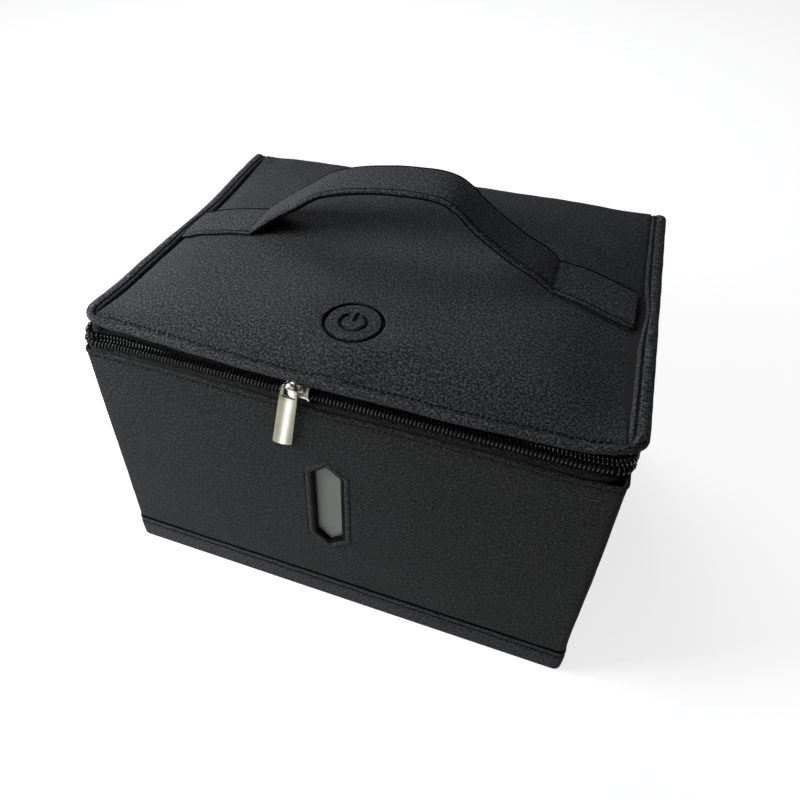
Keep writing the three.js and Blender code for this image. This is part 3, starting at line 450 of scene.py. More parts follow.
def foilMaterial():
    # laminated foil with fine crinkles
    look = foilLook
    material, tree, shader, places = newMaterial("foilLining", look["roughness"], look["metallic"])
    place = places["Object"]
    cells = tree.nodes.new("ShaderNodeTexVoronoi")
    cells.feature = "DISTANCE_TO_EDGE"
    cells.inputs["Scale"].default_value = look["creaseScale"]
    tree.links.new(place, cells.inputs["Vector"])
    crinkle = mathNode(tree, "MINIMUM", cells.outputs["Distance"], look["creaseWidth"])
    grain = placeGroup(tree, grainGroup, place, Grain_Scale=700.0, Patch_Scale=30.0, Contrast=0.2)
    tree.links.new(scaledColour(tree, look["colour"], grain.outputs["Tone"]), shader.inputs["Base Color"])
    fine = times(tree, grain.outputs["Height"], look["grain"])
    addBump(tree, shader, plus(tree, crinkle, fine), look["depth"], look["bump"])
    return material


highlightLook = {
    "roughness": 0.26,
    "slant": -0.2,  # how far the bright line strays sideways as it runs down
    "start": 0.3 * mm,
    "width": 1.35 * mm,
    "dull": (0.27, 0.265, 0.19, 1.0),
    "bright": (1.0, 0.99, 0.93, 1.0),
    "bump": 0.02 * mm,
}


# nickel with a painted highlight and reflection: a bright slanting line down the pull, duller and browner
# beside it
def highlightMaterial():
    material, tree, shader, places = newMaterial("rubbedNickel", highlightLook["roughness"], 1.0)
    place = places["Object"]
    grain = placeGroup(tree, grainGroup, place, Grain_Scale=2200.0, Patch_Scale=160.0, Contrast=0.35)
    split = tree.nodes.new("ShaderNodeSeparateXYZ")
    tree.links.new(place, split.inputs[0])
    drop = minus(tree, swing["pos_m"][2], split.outputs[2])
    line = mathNode(tree, "MULTIPLY_ADD", drop, highlightLook["slant"], swing["pos_m"][0] + highlightLook["start"])
    away = mathNode(tree, "DIVIDE", minus(tree, split.outputs[0], line), highlightLook["width"])
    fall = times(tree, times(tree, away, away), -1.0)
    bright = mathNode(tree, "EXPONENT", fall)
    colour = blendColours(tree, bright, highlightLook["dull"], highlightLook["bright"])
    tree.links.new(scaledColour(tree, colour, grain.outputs["Tone"]), shader.inputs["Base Color"])
    addBump(tree, shader, grain.outputs["Height"], highlightLook["bump"])
    return material


clearLook = {"roughness": 0.12, "grain": 300.0, "contrast": 0.06, "depth": 0.05 * mm, "bump": 0.3}


def clearMaterial(name, tint, alpha):
    material, tree, shader, places = newMaterial(name, clearLook["roughness"])
    values = {"Grain_Scale": clearLook["grain"], "Contrast": clearLook["contrast"]}
    grain = placeGroup(tree, grainGroup, places["Object"], **values)
    tree.links.new(scaledColour(tree, tint, grain.outputs["Tone"]), shader.inputs["Base Color"])
    shader.inputs["Alpha"].default_value = alpha
    addBump(tree, shader, grain.outputs["Height"], clearLook["depth"], clearLook["bump"])
    return material


threadBlack = {"grain": 4000.0, "contrast": 0.4, "specular": 0.15}
thread = grainMaterial("sewingThread", (0.004, 0.004, 0.0045), 0.7, **threadBlack)
# painted shade: near-black for the shade behind the hem's edges, in the strap's grooves, inside the window's
# opening and round the button
frameBlack = grainMaterial("frameBlack", (0.004, 0.004, 0.0042), 0.8, contrast=0.3, specular=0.1)
nylon = {"grain": 2500.0, "contrast": 0.2, "specular": 0.7}
coilNylon = grainMaterial("coilNylon", (0.012, 0.0125, 0.014), 0.2, **nylon)
metal = {"metallic": 1.0, "grain": 900.0, "patch": 120.0, "contrast": 0.12}
nickel = grainMaterial("warmNickel", (0.78, 0.77, 0.69), 0.36, **metal)
rubbedNickel = highlightMaterial()
film = {"grain": 600.0, "patch": 25.0, "contrast": 0.08}
filmGrey = grainMaterial("filmGrey", (0.235, 0.243, 0.227), 0.42, **film)
boardGrey = grainMaterial("boardGrey", (0.02, 0.02, 0.022), 0.8, grain=900.0, contrast=0.3)
foamGrain = {"grain": 1300.0, "contrast": 0.5, "bump": 0.4 * mm}
padFoam = grainMaterial("padFoam", (0.07, 0.07, 0.078), 0.95, **foamGrain)
circuit = {"grain": 500.0, "patch": 90.0, "contrast": 0.25}
circuitGreen = grainMaterial("circuitGreen", (0.014, 0.1, 0.045), 0.45, **circuit)
stripWhite = grainMaterial("stripWhite", (0.75, 0.76, 0.78), 0.35, metallic=0.4, grain=900.0, contrast=0.1)
lampCeramic = grainMaterial("lampCeramic", (0.8, 0.78, 0.68), 0.3, grain=1200.0, contrast=0.1)
plastic = {"grain": 1800.0, "contrast": 0.3, "specular": 0.12}
blackPlastic = grainMaterial("blackPlastic", (0.005, 0.005, 0.0055), 0.65, **plastic)
wireRed = grainMaterial("wireRed", (0.25, 0.012, 0.01), 0.4, grain=900.0, contrast=0.15)
platedSteel = grainMaterial("platedSteel", (0.6, 0.6, 0.6), 0.3, metallic=1.0, grain=800.0, patch=100.0)
clearCover = clearMaterial("clearCover", (0.82, 0.86, 0.9), 0.22)
foil = foilMaterial()
print("stage: materials made")


# Mesh helpers

def makeObject(name, points, faces, material, uvs=None):
    mesh = bpy.data.meshes.new(name)
    mesh.from_pydata(points, [], faces)
    if uvs:
        layer = mesh.uv_layers.new(name="cloth")
        flat = [value for face in uvs for pair in face for value in pair]
        layer.data.foreach_set("uv", flat)
    mesh.polygons.foreach_set("use_smooth", [True] * len(mesh.polygons))
    mesh.materials.append(material)
    obj = bpy.data.objects.new(name, mesh)
    bpy.context.scene.collection.objects.link(obj)
    return obj


def running(points):
    total = [0.0]
    for a, b in zip(points, points[1:]):
        total.append(total[-1] + (b - a).length)
    return total


# rows run up the face and columns run along it, so that rows x columns faces outward
def gridObject(name, rows, material, wrap=False):
    rowCount = len(rows)
    columnCount = len(rows[0])
    middle = rows[rowCount // 2]
    along = running(middle + middle[:1] if wrap else middle)
    up = running([row[columnCount // 2] for row in rows])
    faces = []
    uvs = []
    for r in range(rowCount - 1):
        low = r * columnCount
        high = low + columnCount
        for c in range(columnCount if wrap else columnCount - 1):
            d = (c + 1) % columnCount
            faces.append((low + c, low + d, high + d, high + c))
            corners = ((c, r), (c + 1, r), (c + 1, r + 1), (c, r + 1))
            uvs.append([(along[i], up[j]) for i, j in corners])
    return makeObject(name, [point for row in rows for point in row], faces, material, uvs)


# columns of points turned into rows
def rowsFrom(columns):
    return [list(row) for row in zip(*columns)]


# points over a box, as high as `heightAt` says for a place and its distance from the nearest edge
def sheetRows(low, high, rowCount, columnCount, heightAt, facing=1):
    rows = []
    for r in range(rowCount + 1):
        y = mix(low.y, high.y, r / rowCount) if facing > 0 else mix(high.y, low.y, r / rowCount)
        row = []
        for c in range(columnCount + 1):
            x = mix(low.x, high.x, c / columnCount)
            edge = min(x - low.x, high.x - x, y - low.y, high.y - y)
            row.append(Vector((x, y, heightAt(x, y, edge))))
        rows.append(row)
    return rows


# faces of a run of closed rings whose points start at `base`, with both ends filled
def ringFaces(base, ringCount, sides):
    faces = []
    for r in range(ringCount - 1):
        low = base + r * sides
        high = low + sides
        for k in range(sides):
            n = (k + 1) % sides
            faces.append((low + k, low + n, high + n, high + k))
    last = base + (ringCount - 1) * sides
    faces.append(tuple(base + k for k in reversed(range(sides))))
    faces.append(tuple(last + k for k in range(sides)))
    return faces


def applyModifiers(obj):
    graph = bpy.context.evaluated_depsgraph_get()
    made = bpy.data.meshes.new_from_object(obj.evaluated_get(graph))
    obj.modifiers.clear()
    obj.data = made
    return obj


def thicken(obj, thickness):
    modifier = obj.modifiers.new("thickness", "SOLIDIFY")
    modifier.thickness = thickness
    modifier.offset = -1
    return applyModifiers(obj)


def cutWith(obj, cutter):
    modifier = obj.modifiers.new("cut", "BOOLEAN")
    modifier.object = cutter
    modifier.solver = "EXACT"
    applyModifiers(obj)
    bpy.data.objects.remove(cutter)
    return obj


def settle(obj, body, slot, *nodes):
    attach(obj, body)
    if nodes:
        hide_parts(*nodes)
    return obj


# Routes round the box, as stations that hold a point and the outward direction
def aroundBox(halfX, halfY, radius, step, bendSteps):
    corners = [(-1, 1, 90), (-1, -1, 180), (1, -1, 270), (1, 1, 360)]
    found = []
    for index, (signX, signY, start) in enumerate(corners):
        centre = Vector((signX * (halfX - radius), signY * (halfY - radius), 0))
        for i in range(bendSteps + 1):
            angle = math.radians(start + 90 * i / bendSteps)
            out = Vector((math.cos(angle), math.sin(angle), 0))
            found.append({"point": centre + out * radius, "out": out})
        nextX, nextY = corners[(index + 1) % len(corners)][:2]
        here = found[-1]["point"]
        run = Vector((nextX * (halfX - radius), nextY * (halfY - radius), 0)) + out * radius - here
        count = max(2, round(run.length / step))
        found += [{"point": here + run * (i / count), "out": out} for i in range(1, count)]
    return found


# the run along the left side, the front and the right side, where `turn` is 0 at the sides and 1 in front
def aroundFront(halfX, front, back, radius):
    side = back - front - radius
    bend = radius * math.pi / 2
    across = 2 * (halfX - radius)
    length = 2 * side + 2 * bend + across

    def at(distance):
        mirrored = distance > length / 2
        s = length - distance if mirrored else distance
        sign = 1 if mirrored else -1
        turn = clamp((s - side) / bend)
        over = max(s - side - bend, 0)
        angle = turn * math.pi / 2
        out = Vector((sign * math.cos(angle), -math.sin(angle), 0))
        x = sign * (halfX - radius - over + radius * math.cos(angle))
        y = back - s if s < side else front + radius - radius * math.sin(angle)
        return {"point": Vector((x, y, 0)), "out": out, "turn": turn}

    def stops(step, bendSteps):
        found = []
        marks = [0, side, side + bend, side + bend + across, length - side, length]
        for index, (a, b) in enumerate(zip(marks, marks[1:])):
            count = bendSteps if index in (1, 3) else max(1, round((b - a) / step))
            found += [at(mix(a, b, i / count)) for i in range(count)]
        return found + [at(length)]

    return at, stops, length


def sweep(name, stations, profileAt, material, wrap=False):
    columns = []
    for place in stations:
        profile = profileAt(place)
        columns.append([place["point"] + place["out"] * out + Vector((0, 0, up)) for out, up in profile])
    return gridObject(name, rowsFrom(columns), material, wrap)


def editMesh(obj, change):
    work = bmesh.new()
    work.from_mesh(obj.data)
    change(work)
    work.to_mesh(obj.data)
    work.free()
    return obj


weldReach = 0.001 * mm


# a closed section repeats its first row so that its cloth coordinates have an end; the two rows are welded
def weldSeam(obj, columnCount):
    def weld(work):
        bmesh.ops.remove_doubles(work, verts=work.verts, dist=weldReach)
        bmesh.ops.holes_fill(work, edges=[e for e in work.edges if e.is_boundary], sides=columnCount)

    return editMesh(obj, weld)


def facingOut(obj):
    return editMesh(obj, lambda work: bmesh.ops.recalc_face_normals(work, faces=work.faces))


# gives chosen rows of a grid another material; `span` is how many faces a row has
def paintRows(obj, chosen, span, material):
    obj.data.materials.append(material)
    for index, face in enumerate(obj.data.polygons):
        if index // span in chosen:
            face.material_index = len(obj.data.materials) - 1


# moves points along their normals by slow noise, so that cloth isn't dead flat
def roughen(obj, look):
    normals = [v.normal.copy() for v in obj.data.vertices]
    for vertex, normal in zip(obj.data.vertices, normals):
        vertex.co += normal * ripple(vertex.co, look)


# A row of stitches: small sunk capsules along a path of (point, normal) pairs

stitch = {
    "length": 1.6 * mm,
    "space": 0.75 * mm,
    "radius": 0.27 * mm,
    "sides": 6,
    # rings along a stitch, as shares of its length, its radius and how far it rises
    "ringShares": [
        (-0.5, 0.45, -0.5), (-0.3, 0.95, 0.15), (0.0, 1.0, 0.4), (0.3, 0.95, 0.15), (0.5, 0.45, -0.5),
    ],
}
fineStitch = dict(stitch, length=1.7 * mm, space=0.7 * mm, radius=0.17 * mm)


def stitchRow(name, path, body, slot, look=stitch):
    points = [Vector(p) for p, _ in path]
    marks = running(points)
    verts = []
    faces = []
    place = look["space"]
    segment = 0
    while place + look["length"] < marks[-1]:
        centreMark = place + look["length"] / 2
        while marks[segment + 1] < centreMark:
            segment += 1
        t = (centreMark - marks[segment]) / (marks[segment + 1] - marks[segment])
        centre = points[segment].lerp(points[segment + 1], t)
        along = (points[segment + 1] - points[segment]).normalized()
        normal = path[segment][1].lerp(path[segment + 1][1], t).normalized()
        aside = along.cross(normal).normalized()
        faces += ringFaces(len(verts), len(look["ringShares"]), look["sides"])
        for share, width, lift in look["ringShares"]:
            middle = centre + along * share * look["length"] + normal * lift * look["radius"]
            for angle in roundAngles(look["sides"]):
                spoke = aside * math.cos(angle) + normal * math.sin(angle)
                verts.append(middle + spoke * look["radius"] * width)
        place += look["length"] + look["space"]
    return settle(makeObject(name, verts, faces, thread), body, slot)


def tubeObject(name, points, radius, sides, material):
    verts = []
    for i, point in enumerate(points):
        along = directionAt(points, i)
        aside = along.cross(upward).normalized()
        up = aside.cross(along)
        verts += [point + (aside * math.cos(a) + up * math.sin(a)) * radius for a in roundAngles(sides)]
    return makeObject(name, verts, ringFaces(0, len(points), sides), material)


# part of a section: (outwards, up) pairs in millimetres, measured from a height
def fromHeight(height, pairs):
    return [(out * mm, height + up * mm) for out, up in pairs]


# Body: walls with a folded top edge, a window and a hem band

walls = {
    "corner": 3 * mm,
    "cornerSteps": 8,
    "step": 4 * mm,
    "rows": 30,
    "sideFull": 0.15 * mm,  # how far the padded sides stand proud of the boards
    "sway": (-0.75 * mm, -0.28 * mm),  # how far the cloth sits to the right at its left and right ends
    "thickness": 0.7 * mm,
    "foldWidth": 2.5 * mm,
    "stitchSink": 0.42 * mm,
    "backRise": 0.4 * mm,  # how far the cloth runs past the fold at the back
    "puff": 0.3 * mm,  # how full the fold is above its seam
    "wave": {"size": 45 * mm, "depth": 0.55 * mm, "seed": 0.0},
    "pucker": {"size": 6 * mm, "depth": 0.12 * mm, "seed": 3.0},
    "calmShares": (6, 5),  # how quickly the waves die out towards the foot and the top
    # the section, from under the hem's edge to the inside of the fold, in millimetres
    "foot": [(-0.9, -1.2), (-0.7, -0.2), (-0.5, 0.4), (-0.05, 0.85)],
    "shadowRows": {0, 1, 2},  # painted shade: black rows behind the hem's top edge
    "plain": (2.2 * mm, 1.6 * mm),  # where the plain wall starts above the foot and ends below the seam
    "seam": [(-0.1, -0.7), (-0.55, 0.0), (-0.05, 0.7)],
    "full": 1.2 * mm,
    "edgeShares": [(1.2, 1.0 * mm), (0.6, 0.4 * mm)],  # shares of the puff, and how far below the edge
    "turnedIn": [(-0.25, -0.1), (-0.7, 0.0), (-1.1, -0.5), (-1.2, -3.0)],
}


hem = {
    "proud": 0.5 * mm,
    "height": 16.2 * mm,
    "stitchDrop": 3.4 * mm,
    "round": 2.6 * mm,
    "roundSteps": 5,
    "step": 3 * mm,
    "thickness": 0.6 * mm,
    "pucker": {"size": 9 * mm, "depth": 0.22 * mm, "seed": 5.0},
    "level": 2 * mm,  # below this the band stays flat on the floor
    # the section up the band, as shares of `proud` with shares of the height or of the groove
    "lowerShares": [(1.3, 0.4), (1.3, 0.75)],
    "grooveShares": [(0.95, -1), (-0.2, 0), (0.85, 1)],
    "upperShares": [(0.95, 0.55)],
    "edgeShare": 0.7,
    "stitchShare": 0.3,
    # painted shade: the stitched groove in darker cloth
    "grooveRows": {10, 11},
    "shadowRows": {14, 15, 16},  # painted shade: black at the top edge
    # its ends, in millimetres: turned in under the base, and tucked behind the top edge
    "under": [(-3.6, 0.5), (-3.2, 0.05), (-2.2, 0.0)],
    "tucked": [(0.2, 0.0), (-0.4, -0.1), (-0.9, -0.8)],
    "groove": 0.6 * mm,  # half the width of the stitched groove
    "edge": 0.45 * mm,
}


# how far the front wall's top edge hangs, as (place along it, amount), both in millimetres
wallDip = [
    (-110, 0.5), (-90, 0.4), (-76, 0.2), (-57, 0.5), (-38, 1.0), (-24, 1.5), (3, 1.9), (26, 1.4), (49, 1.2),
    (71, 1.3), (86, 1.8), (95, 2.1), (102, 1.4), (110, 0.8),
]


def wallTopAt(place):
    dip = between(wallDip, place["point"].x / mm) * mm * ease(-place["out"].y)
    return mix(wallTop, foldHeight + walls["backRise"], ease(place["out"].y)) - dip


def aroundWalls(step):
    stations = aroundBox(
        halfWidth + walls["sideFull"], halfDepth, walls["corner"], step, walls["cornerSteps"],
    )
    for place in stations:
        share = clamp((place["point"].x / halfWidth + 1) / 2)
        place["point"] += Vector((mix(*walls["sway"], share), 0, 0))
    return stations


def makeWalls():
    hemTop = wallLow.z

    def profile(place):
        top = wallTopAt(place)
        puff = walls["puff"] * (1 - clamp(place["out"].y))
        seam = top - walls["foldWidth"]
        low = hem["height"] + walls["plain"][0]
        high = seam - walls["plain"][1]
        points = fromHeight(hem["height"], walls["foot"])
        points += [(0.0, mix(low, high, i / walls["rows"])) for i in range(walls["rows"] + 1)]
        points += fromHeight(seam, walls["seam"]) + [(puff, seam + walls["full"])]
        points += [(puff * share, top - drop) for share, drop in walls["edgeShares"]]
        return points + fromHeight(top, walls["turnedIn"])

    stations = aroundWalls(walls["step"])
    obj = sweep("wallCloth", stations, profile, bodyCloth, wrap=True)
    # painted shade: the foot's rows behind the hem's top edge in black
    paintRows(obj, walls["shadowRows"], len(stations), frameBlack)
    for vertex in obj.data.vertices:
        out = Vector((vertex.normal.x, vertex.normal.y, 0))
        height = (vertex.co.z - hemTop) / (wallTop - hemTop)
        free = ease(height * walls["calmShares"][0]) * ease((1 - height) * walls["calmShares"][1])
        vertex.co += out * (ripple(vertex.co, walls["wave"]) * free + ripple(vertex.co, walls["pucker"]))
    thicken(obj, walls["thickness"])
    cutWith(obj, windowCutter(window["open"] + window["clear"]))
    settle(obj, "body", "cloth", "wall_fabric")
    rail = []
    for place in stations:
        if place["out"].y < 0.2:  # the back edge has no seam
            lift = Vector((0, 0, wallTopAt(place) - walls["foldWidth"]))
            rail.append((place["point"] - place["out"] * walls["stitchSink"] + lift, place["out"]))
    stitchRow("wallTopStitches", rail, "body", "cloth")


# Window: a turned-in lip round the hole, with the film behind it

window = {
    "open": 0.7 * mm,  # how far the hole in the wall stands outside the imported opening
    "clear": 0.6 * mm,  # how much wider the wall itself is cut, behind the lip
    "cut": (3 * mm, -4 * mm),  # how far behind and before the wall the cut reaches
    "film": -0.7 * mm,  # the same as `open`, for the edge of the film that shows
    "shifts": (-0.2 * mm, 0.3 * mm),  # how far the film's edge and the hole stray sideways
    "shiftReach": 0.8,  # millimetres
    "facing": 1.9 * mm,
    "packedRim": 0.8 * mm,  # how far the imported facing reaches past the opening
    "tip": 6 * mm,  # height of the pointed top and foot
    "edgeRound": 0.9 * mm,
    "roundSteps": 3,
    "points": 5,
    "sheet": 0.3 * mm,
    # sections as (past an edge, depth), in millimetres
    "lipOutside": [(0.5, 0.5), (0.25, 0.05), (0.0, -0.2), (-0.4, -0.34)],
    "lipInside": [(0.7, -0.36), (0.25, -0.22), (0.05, 0.05), (0.0, 0.5), (-0.05, 1.2)],
    "frameOutside": [(0.1, 0.25), (-0.15, 0.4)],
    "frameInside": [(0.25, 0.5), (0.05, 0.65), (0.0, 1.3), (0.0, 2.15)],
    "stitchAt": (0.2 * mm, 0.05 * mm),  # outside the facing, and behind the wall's face
    "stitchRadius": 0.2 * mm,
}
windowMiddle = (facingLow + facingHigh) / 2
openHalfWidth = (facingHigh.x - facingLow.x) / 2 - window["packedRim"]
openHalfHeight = (facingHigh.z - facingLow.z) / 2 - window["packedRim"]
openHalfStraight = openHalfHeight - window["tip"]


# outline of the window, `margin` outside the opening, with slightly rounded corners
def windowOutline(margin, shift=0.0):
    halfX = openHalfWidth + margin
    straight = openHalfStraight + margin / 2
    tall = openHalfHeight + margin
    rightHalf = [(halfX, -straight), (halfX, straight), (0, tall)]
    corners = [(-halfX, -straight), (0, -tall)] + rightHalf + [(-halfX, straight)]
    corners = [Vector((x, z)) for x, z in corners]
    found = []
    for i, corner in enumerate(corners):
        before = corner.lerp(corners[i - 1], window["edgeRound"] / (corners[i - 1] - corner).length)
        following = corners[(i + 1) % len(corners)]
        share = window["edgeRound"] / (following - corner).length
        after = corner.lerp(following, share)
        nextBefore = following.lerp(corner, share)
        for k in range(window["roundSteps"] + 1):
            t = k / window["roundSteps"]
            found.append(before.lerp(corner, t).lerp(corner.lerp(after, t), t))
        found += [after.lerp(nextBefore, k / window["points"]) for k in range(1, window["points"])]
    return [(windowMiddle.x + shift + p.x, windowMiddle.z + p.y) for p in found]


def windowCutter(margin):
    outline = windowOutline(margin, window["shifts"][1])
    points = [Vector((x, depth - halfDepth, z)) for depth in window["cut"] for x, z in outline]
    return makeObject("cutter", points, ringFaces(0, 2, len(outline)), bodyCloth)


def windowRing(name, profile, material):
    rows = []
    for margin, depth in profile:
        share = (margin - window["film"] / mm) / window["shiftReach"]
        outline = windowOutline(margin * mm, mix(*window["shifts"], ease(share)))
        rows.append([Vector((x, depth * mm - halfDepth, z)) for x, z in outline])
    return thicken(gridObject(name, rows, material, wrap=True), -window["sheet"])


def makeWindow():
    rim = window["open"] / mm
    face = rim + window["facing"] / mm
    edge = window["film"] / mm
    lip = [(face + past, depth) for past, depth in window["lipOutside"]]
    lip += [(rim + past, depth) for past, depth in window["lipInside"]]
    settle(windowRing("windowLip", lip, lipCloth), "body", "dark_cloth", "window_facing")
    # the opening's inner walls in black, as painted shade in the recess
    steps = [(rim + past, depth) for past, depth in window["frameOutside"]]
    steps += [(edge + past, depth) for past, depth in window["frameInside"]]
    settle(windowRing("windowFrame", steps, frameBlack), "body", "dark_cloth")
    past, behind = window["stitchAt"]
    line = windowOutline(window["open"] + window["facing"] + past, window["shifts"][1])
    seam = [(Vector((x, behind - halfDepth, z)), Vector((0, -1, 0))) for x, z in line]
    small = dict(stitch, radius=window["stitchRadius"])
    stitchRow("windowStitches", seam + seam[:1], "body", "dark_cloth", small)


def makeHem():
    top = hem["height"]
    proud = hem["proud"]
    valley = top - hem["stitchDrop"]

    def profile(place):
        points = fromHeight(0.0, hem["under"])
        for i in range(1, hem["roundSteps"] + 1):
            angle = math.radians(-90 + 90 * i / hem["roundSteps"])
            x = proud - hem["round"] + hem["round"] * math.cos(angle)
            points.append((x, hem["round"] + hem["round"] * math.sin(angle)))
        points += [(proud * full, mix(hem["round"], valley, up)) for full, up in hem["lowerShares"]]
        points += [(proud * full, valley + hem["groove"] * up) for full, up in hem["grooveShares"]]
        points += [(proud * full, mix(valley, top, up)) for full, up in hem["upperShares"]]
        points.append((proud * hem["edgeShare"], top - hem["edge"]))
        return points + fromHeight(top, hem["tucked"])

    stations = aroundWalls(hem["step"])
    obj = sweep("hemBand", stations, profile, hemCloth, wrap=True)
    # painted shade: darker cloth in the stitched groove and black at the top edge
    paintRows(obj, hem["grooveRows"], len(stations), darkCloth)
    paintRows(obj, hem["shadowRows"], len(stations), frameBlack)
    for vertex in obj.data.vertices:
        if vertex.co.z > hem["level"]:
            out = Vector((vertex.normal.x, vertex.normal.y, 0))
            vertex.co += out * ripple(vertex.co, hem["pucker"])
    settle(thicken(obj, hem["thickness"]), "body", "cloth", "base_hem")
    rail = []
    for place in stations:
        seat = place["point"] + place["out"] * proud * hem["stitchShare"] + Vector((0, 0, valley))
        rail.append((seat, place["out"]))
    stitchRow("hemStitches", rail + rail[:1], "body", "cloth")


underside = {
    "count": 36,
    "height": 0.1 * mm,
    "dish": 0.45 * mm,
    "dishReach": 12 * mm,
    "ridge": 0.25 * mm,  # a low ridge beside the hem
    "ridgeAt": 6 * mm,
    "ridgeWidth": 1.5 * mm,
    "thickness": 0.5 * mm,
}


def makeUnderside():
    def height(x, y, edge):
        dish = underside["dish"] * ease(edge / underside["dishReach"])
        ridge = underside["ridge"] * hump(edge - underside["ridgeAt"], underside["ridgeWidth"])
        return underside["height"] + (dish + ridge)

    low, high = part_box("base_cover")
    rows = sheetRows(low, high, underside["count"], underside["count"], height, -1)
    obj = thicken(gridObject("undersideCloth", rows, darkCloth), underside["thickness"])
    settle(obj, "body", "dark_cloth", "base_cover")


makeWalls()
makeWindow()
makeHem()
makeUnderside()
print("stage: body cloth made")


# Zipper: tapes, coils of single nylon turns, their cords and thread lines; the stops stay as imported

zipper = {
    "inset": 4.6 * mm,
    "sideInset": 0.6 * mm,
    "lean": 43.7,  # degrees that the front run is laid back
    "step": 3 * mm,
    "end": 7 * mm,
    "corner": 6 * mm,
    "pitch": 1.5 * mm,
    "wire": 0.35 * mm,
    "coilWidth": 2.75 * mm,
    "coilBase": 0.45 * mm,
    "coilTop": 2.45 * mm,
    "slant": 0.55 * mm,
    "coilEnd": 4.5 * mm,
    "bend": 52.0,  # degrees that the lid's half turns back under the seam in the middle of the front
    "bendAt": 1.2 * mm,
    "bendReach": (103 * mm, 45 * mm),  # where the bend has faded out, and over what length it fades
    "bulge": (1.7 * mm, -1.3 * mm),  # how far it stands out at the left and right front corners
    "bulgeBack": 4 * mm,
    "bulgeReach": (9 * mm, 13 * mm),
    "sink": 1.2 * mm,  # how much deeper the lid's half lies along the front
    "sinkReach": (107 * mm, 5 * mm),
    "tape": 0.4 * mm,
    "tuck": {1: 3 * mm, -1: 5 * mm},  # how far the lid's and the body's tape run on behind the cloth
    "tuckIn": 0.9 * mm,
    "upright": 0.2,  # radians; below this the tape stands upright and runs on by a smaller share
    "uprightShare": 0.5,
    "coilSides": 6,
    "headShare": 1.3,  # the head is wider than the leg
    "cord": 0.85 * mm,
    "cordShares": (0.5, 0.45),  # where the cord lies, in the coil's width and height
    "cordSides": 8,
    "thread": 0.2 * mm,
    "threadSides": 5,
    "threadShare": 0.56,
    "threadLifts": (0.32 * mm, 0.12 * mm),
}
# sections of the two tapes, as (distance from the middle, how proud), in millimetres
upperTapeShape = [(0.3, 0.1), (1.4, 0.1), (2.8, 0.1), (4.2, 0.1), (5.0, 0.1), (5.6, 0.1)]
lowerTapeShape = [
    (0.3, 0.1), (1.5, 0.1), (2.8, 0.05), (3.2, -0.3), (3.5, 0.2), (4.0, 0.5), (4.7, 0.5), (5.3, 0.1),
    (5.7, -0.6),
]
# a turn of nylon from the tape's edge to its head, as shares of the slant, the width and the height
coilTurnShares = [
    (-0.2, 0.96, 0.05), (-0.15, 1.02, 0.5), (0.0, 0.9, 0.9), (0.35, 0.65, 1.0), (0.7, 0.36, 0.975),
    (0.92, 0.1, 0.72), (1.0, -0.10909, 0.4),
]
zipTilt = math.radians(zipper["lean"])
zipAt, zipStops, zipLength = aroundFront(
    halfWidth - zipper["sideInset"], zipper["inset"] - halfDepth, halfDepth - zipper["end"], zipper["corner"],
)
coilLength = zipLength - 2 * zipper["coilEnd"]
coilTurns = int(coilLength / zipper["pitch"])


# `across` runs over the tape towards the lid, `proud` stands out of it
def zipPoint(place, across, proud):
    tilt = zipTilt * place["turn"]
    beside = abs(place["point"].x)
    corner = hump(beside - halfWidth, zipper["bulgeReach"][0])
    corner *= hump(place["point"].y + halfDepth - zipper["bulgeBack"], zipper["bulgeReach"][1])
    bulge = place["out"] * zipper["bulge"][0 if place["point"].x < 0 else 1] * corner
    if across > 0:
        end, fade = zipper["sinkReach"]
        proud -= zipper["sink"] * ease((end - beside) / fade) * place["turn"]
        end, fade = zipper["bendReach"]
        bend = math.radians(zipper["bend"]) * ease((end - beside) / fade) * place["turn"]
        rise = proud - zipper["bendAt"]
        proud = zipper["bendAt"] + rise * math.cos(bend) - across * math.sin(bend)
        across = across * math.cos(bend) + rise * math.sin(bend)
    out = proud * math.cos(tilt) - across * math.sin(tilt)
    up = foldHeight + across * math.cos(tilt) + proud * math.sin(tilt)
    return place["point"] + place["out"] * out + Vector((0, 0, up)) + bulge


def makeTape(name, side, body, node):
    shape = upperTapeShape if side > 0 else lowerTapeShape
    columns = []
    for place in zipStops(zipper["step"], walls["cornerSteps"]):
        column = [zipPoint(place, side * across * mm, proud * mm) for across, proud in shape]
        inward = place["out"] * (zipper["tuckIn"] if side < 0 else 0.0)
        tuck = Vector((0, 0, side * zipper["tuck"][side]))
        tuck *= 1 if zipTilt * place["turn"] > zipper["upright"] else zipper["uprightShare"]
        column.append(column[-1] + tuck - inward)
        columns.append(column if side > 0 else column[::-1])
    obj = thicken(gridObject(name, rowsFrom(columns), tapeCloth), zipper["tape"])
    settle(obj, body, "zip_tape", node)


def turnPath(distance, side):
    path = []
    for share, width, height in coilTurnShares:
        proud = mix(zipper["coilBase"], zipper["coilTop"], height)
        place = zipAt(distance + share * zipper["slant"])
        path.append(zipPoint(place, side * width * zipper["coilWidth"], proud))
    return path


def makeCoil(name, side, body, node):
    sides = zipper["coilSides"]
    first = zipper["coilEnd"] + (zipper["pitch"] / 2 if side > 0 else 0)
    verts = []
    faces = []
    for i in range(coilTurns):
        distance = first + i * zipper["pitch"]
        path = turnPath(distance, side)
        along = upward.cross(zipAt(distance)["out"]).normalized()
        faces += ringFaces(len(verts), len(path), sides)
        for k, point in enumerate(path):
            ahead = directionAt(path, k)
            aside = (along - ahead * along.dot(ahead)).normalized()
            up = aside.cross(ahead)
            swell = zipper["headShare"] if k == len(path) - 1 else 1.0
            for angle in roundAngles(sides):
                offset = aside * math.cos(angle) * swell + up * math.sin(angle)
                verts.append(point + offset * zipper["wire"])
    settle(makeObject(name, verts, faces, coilNylon), body, "zip_coil", node)


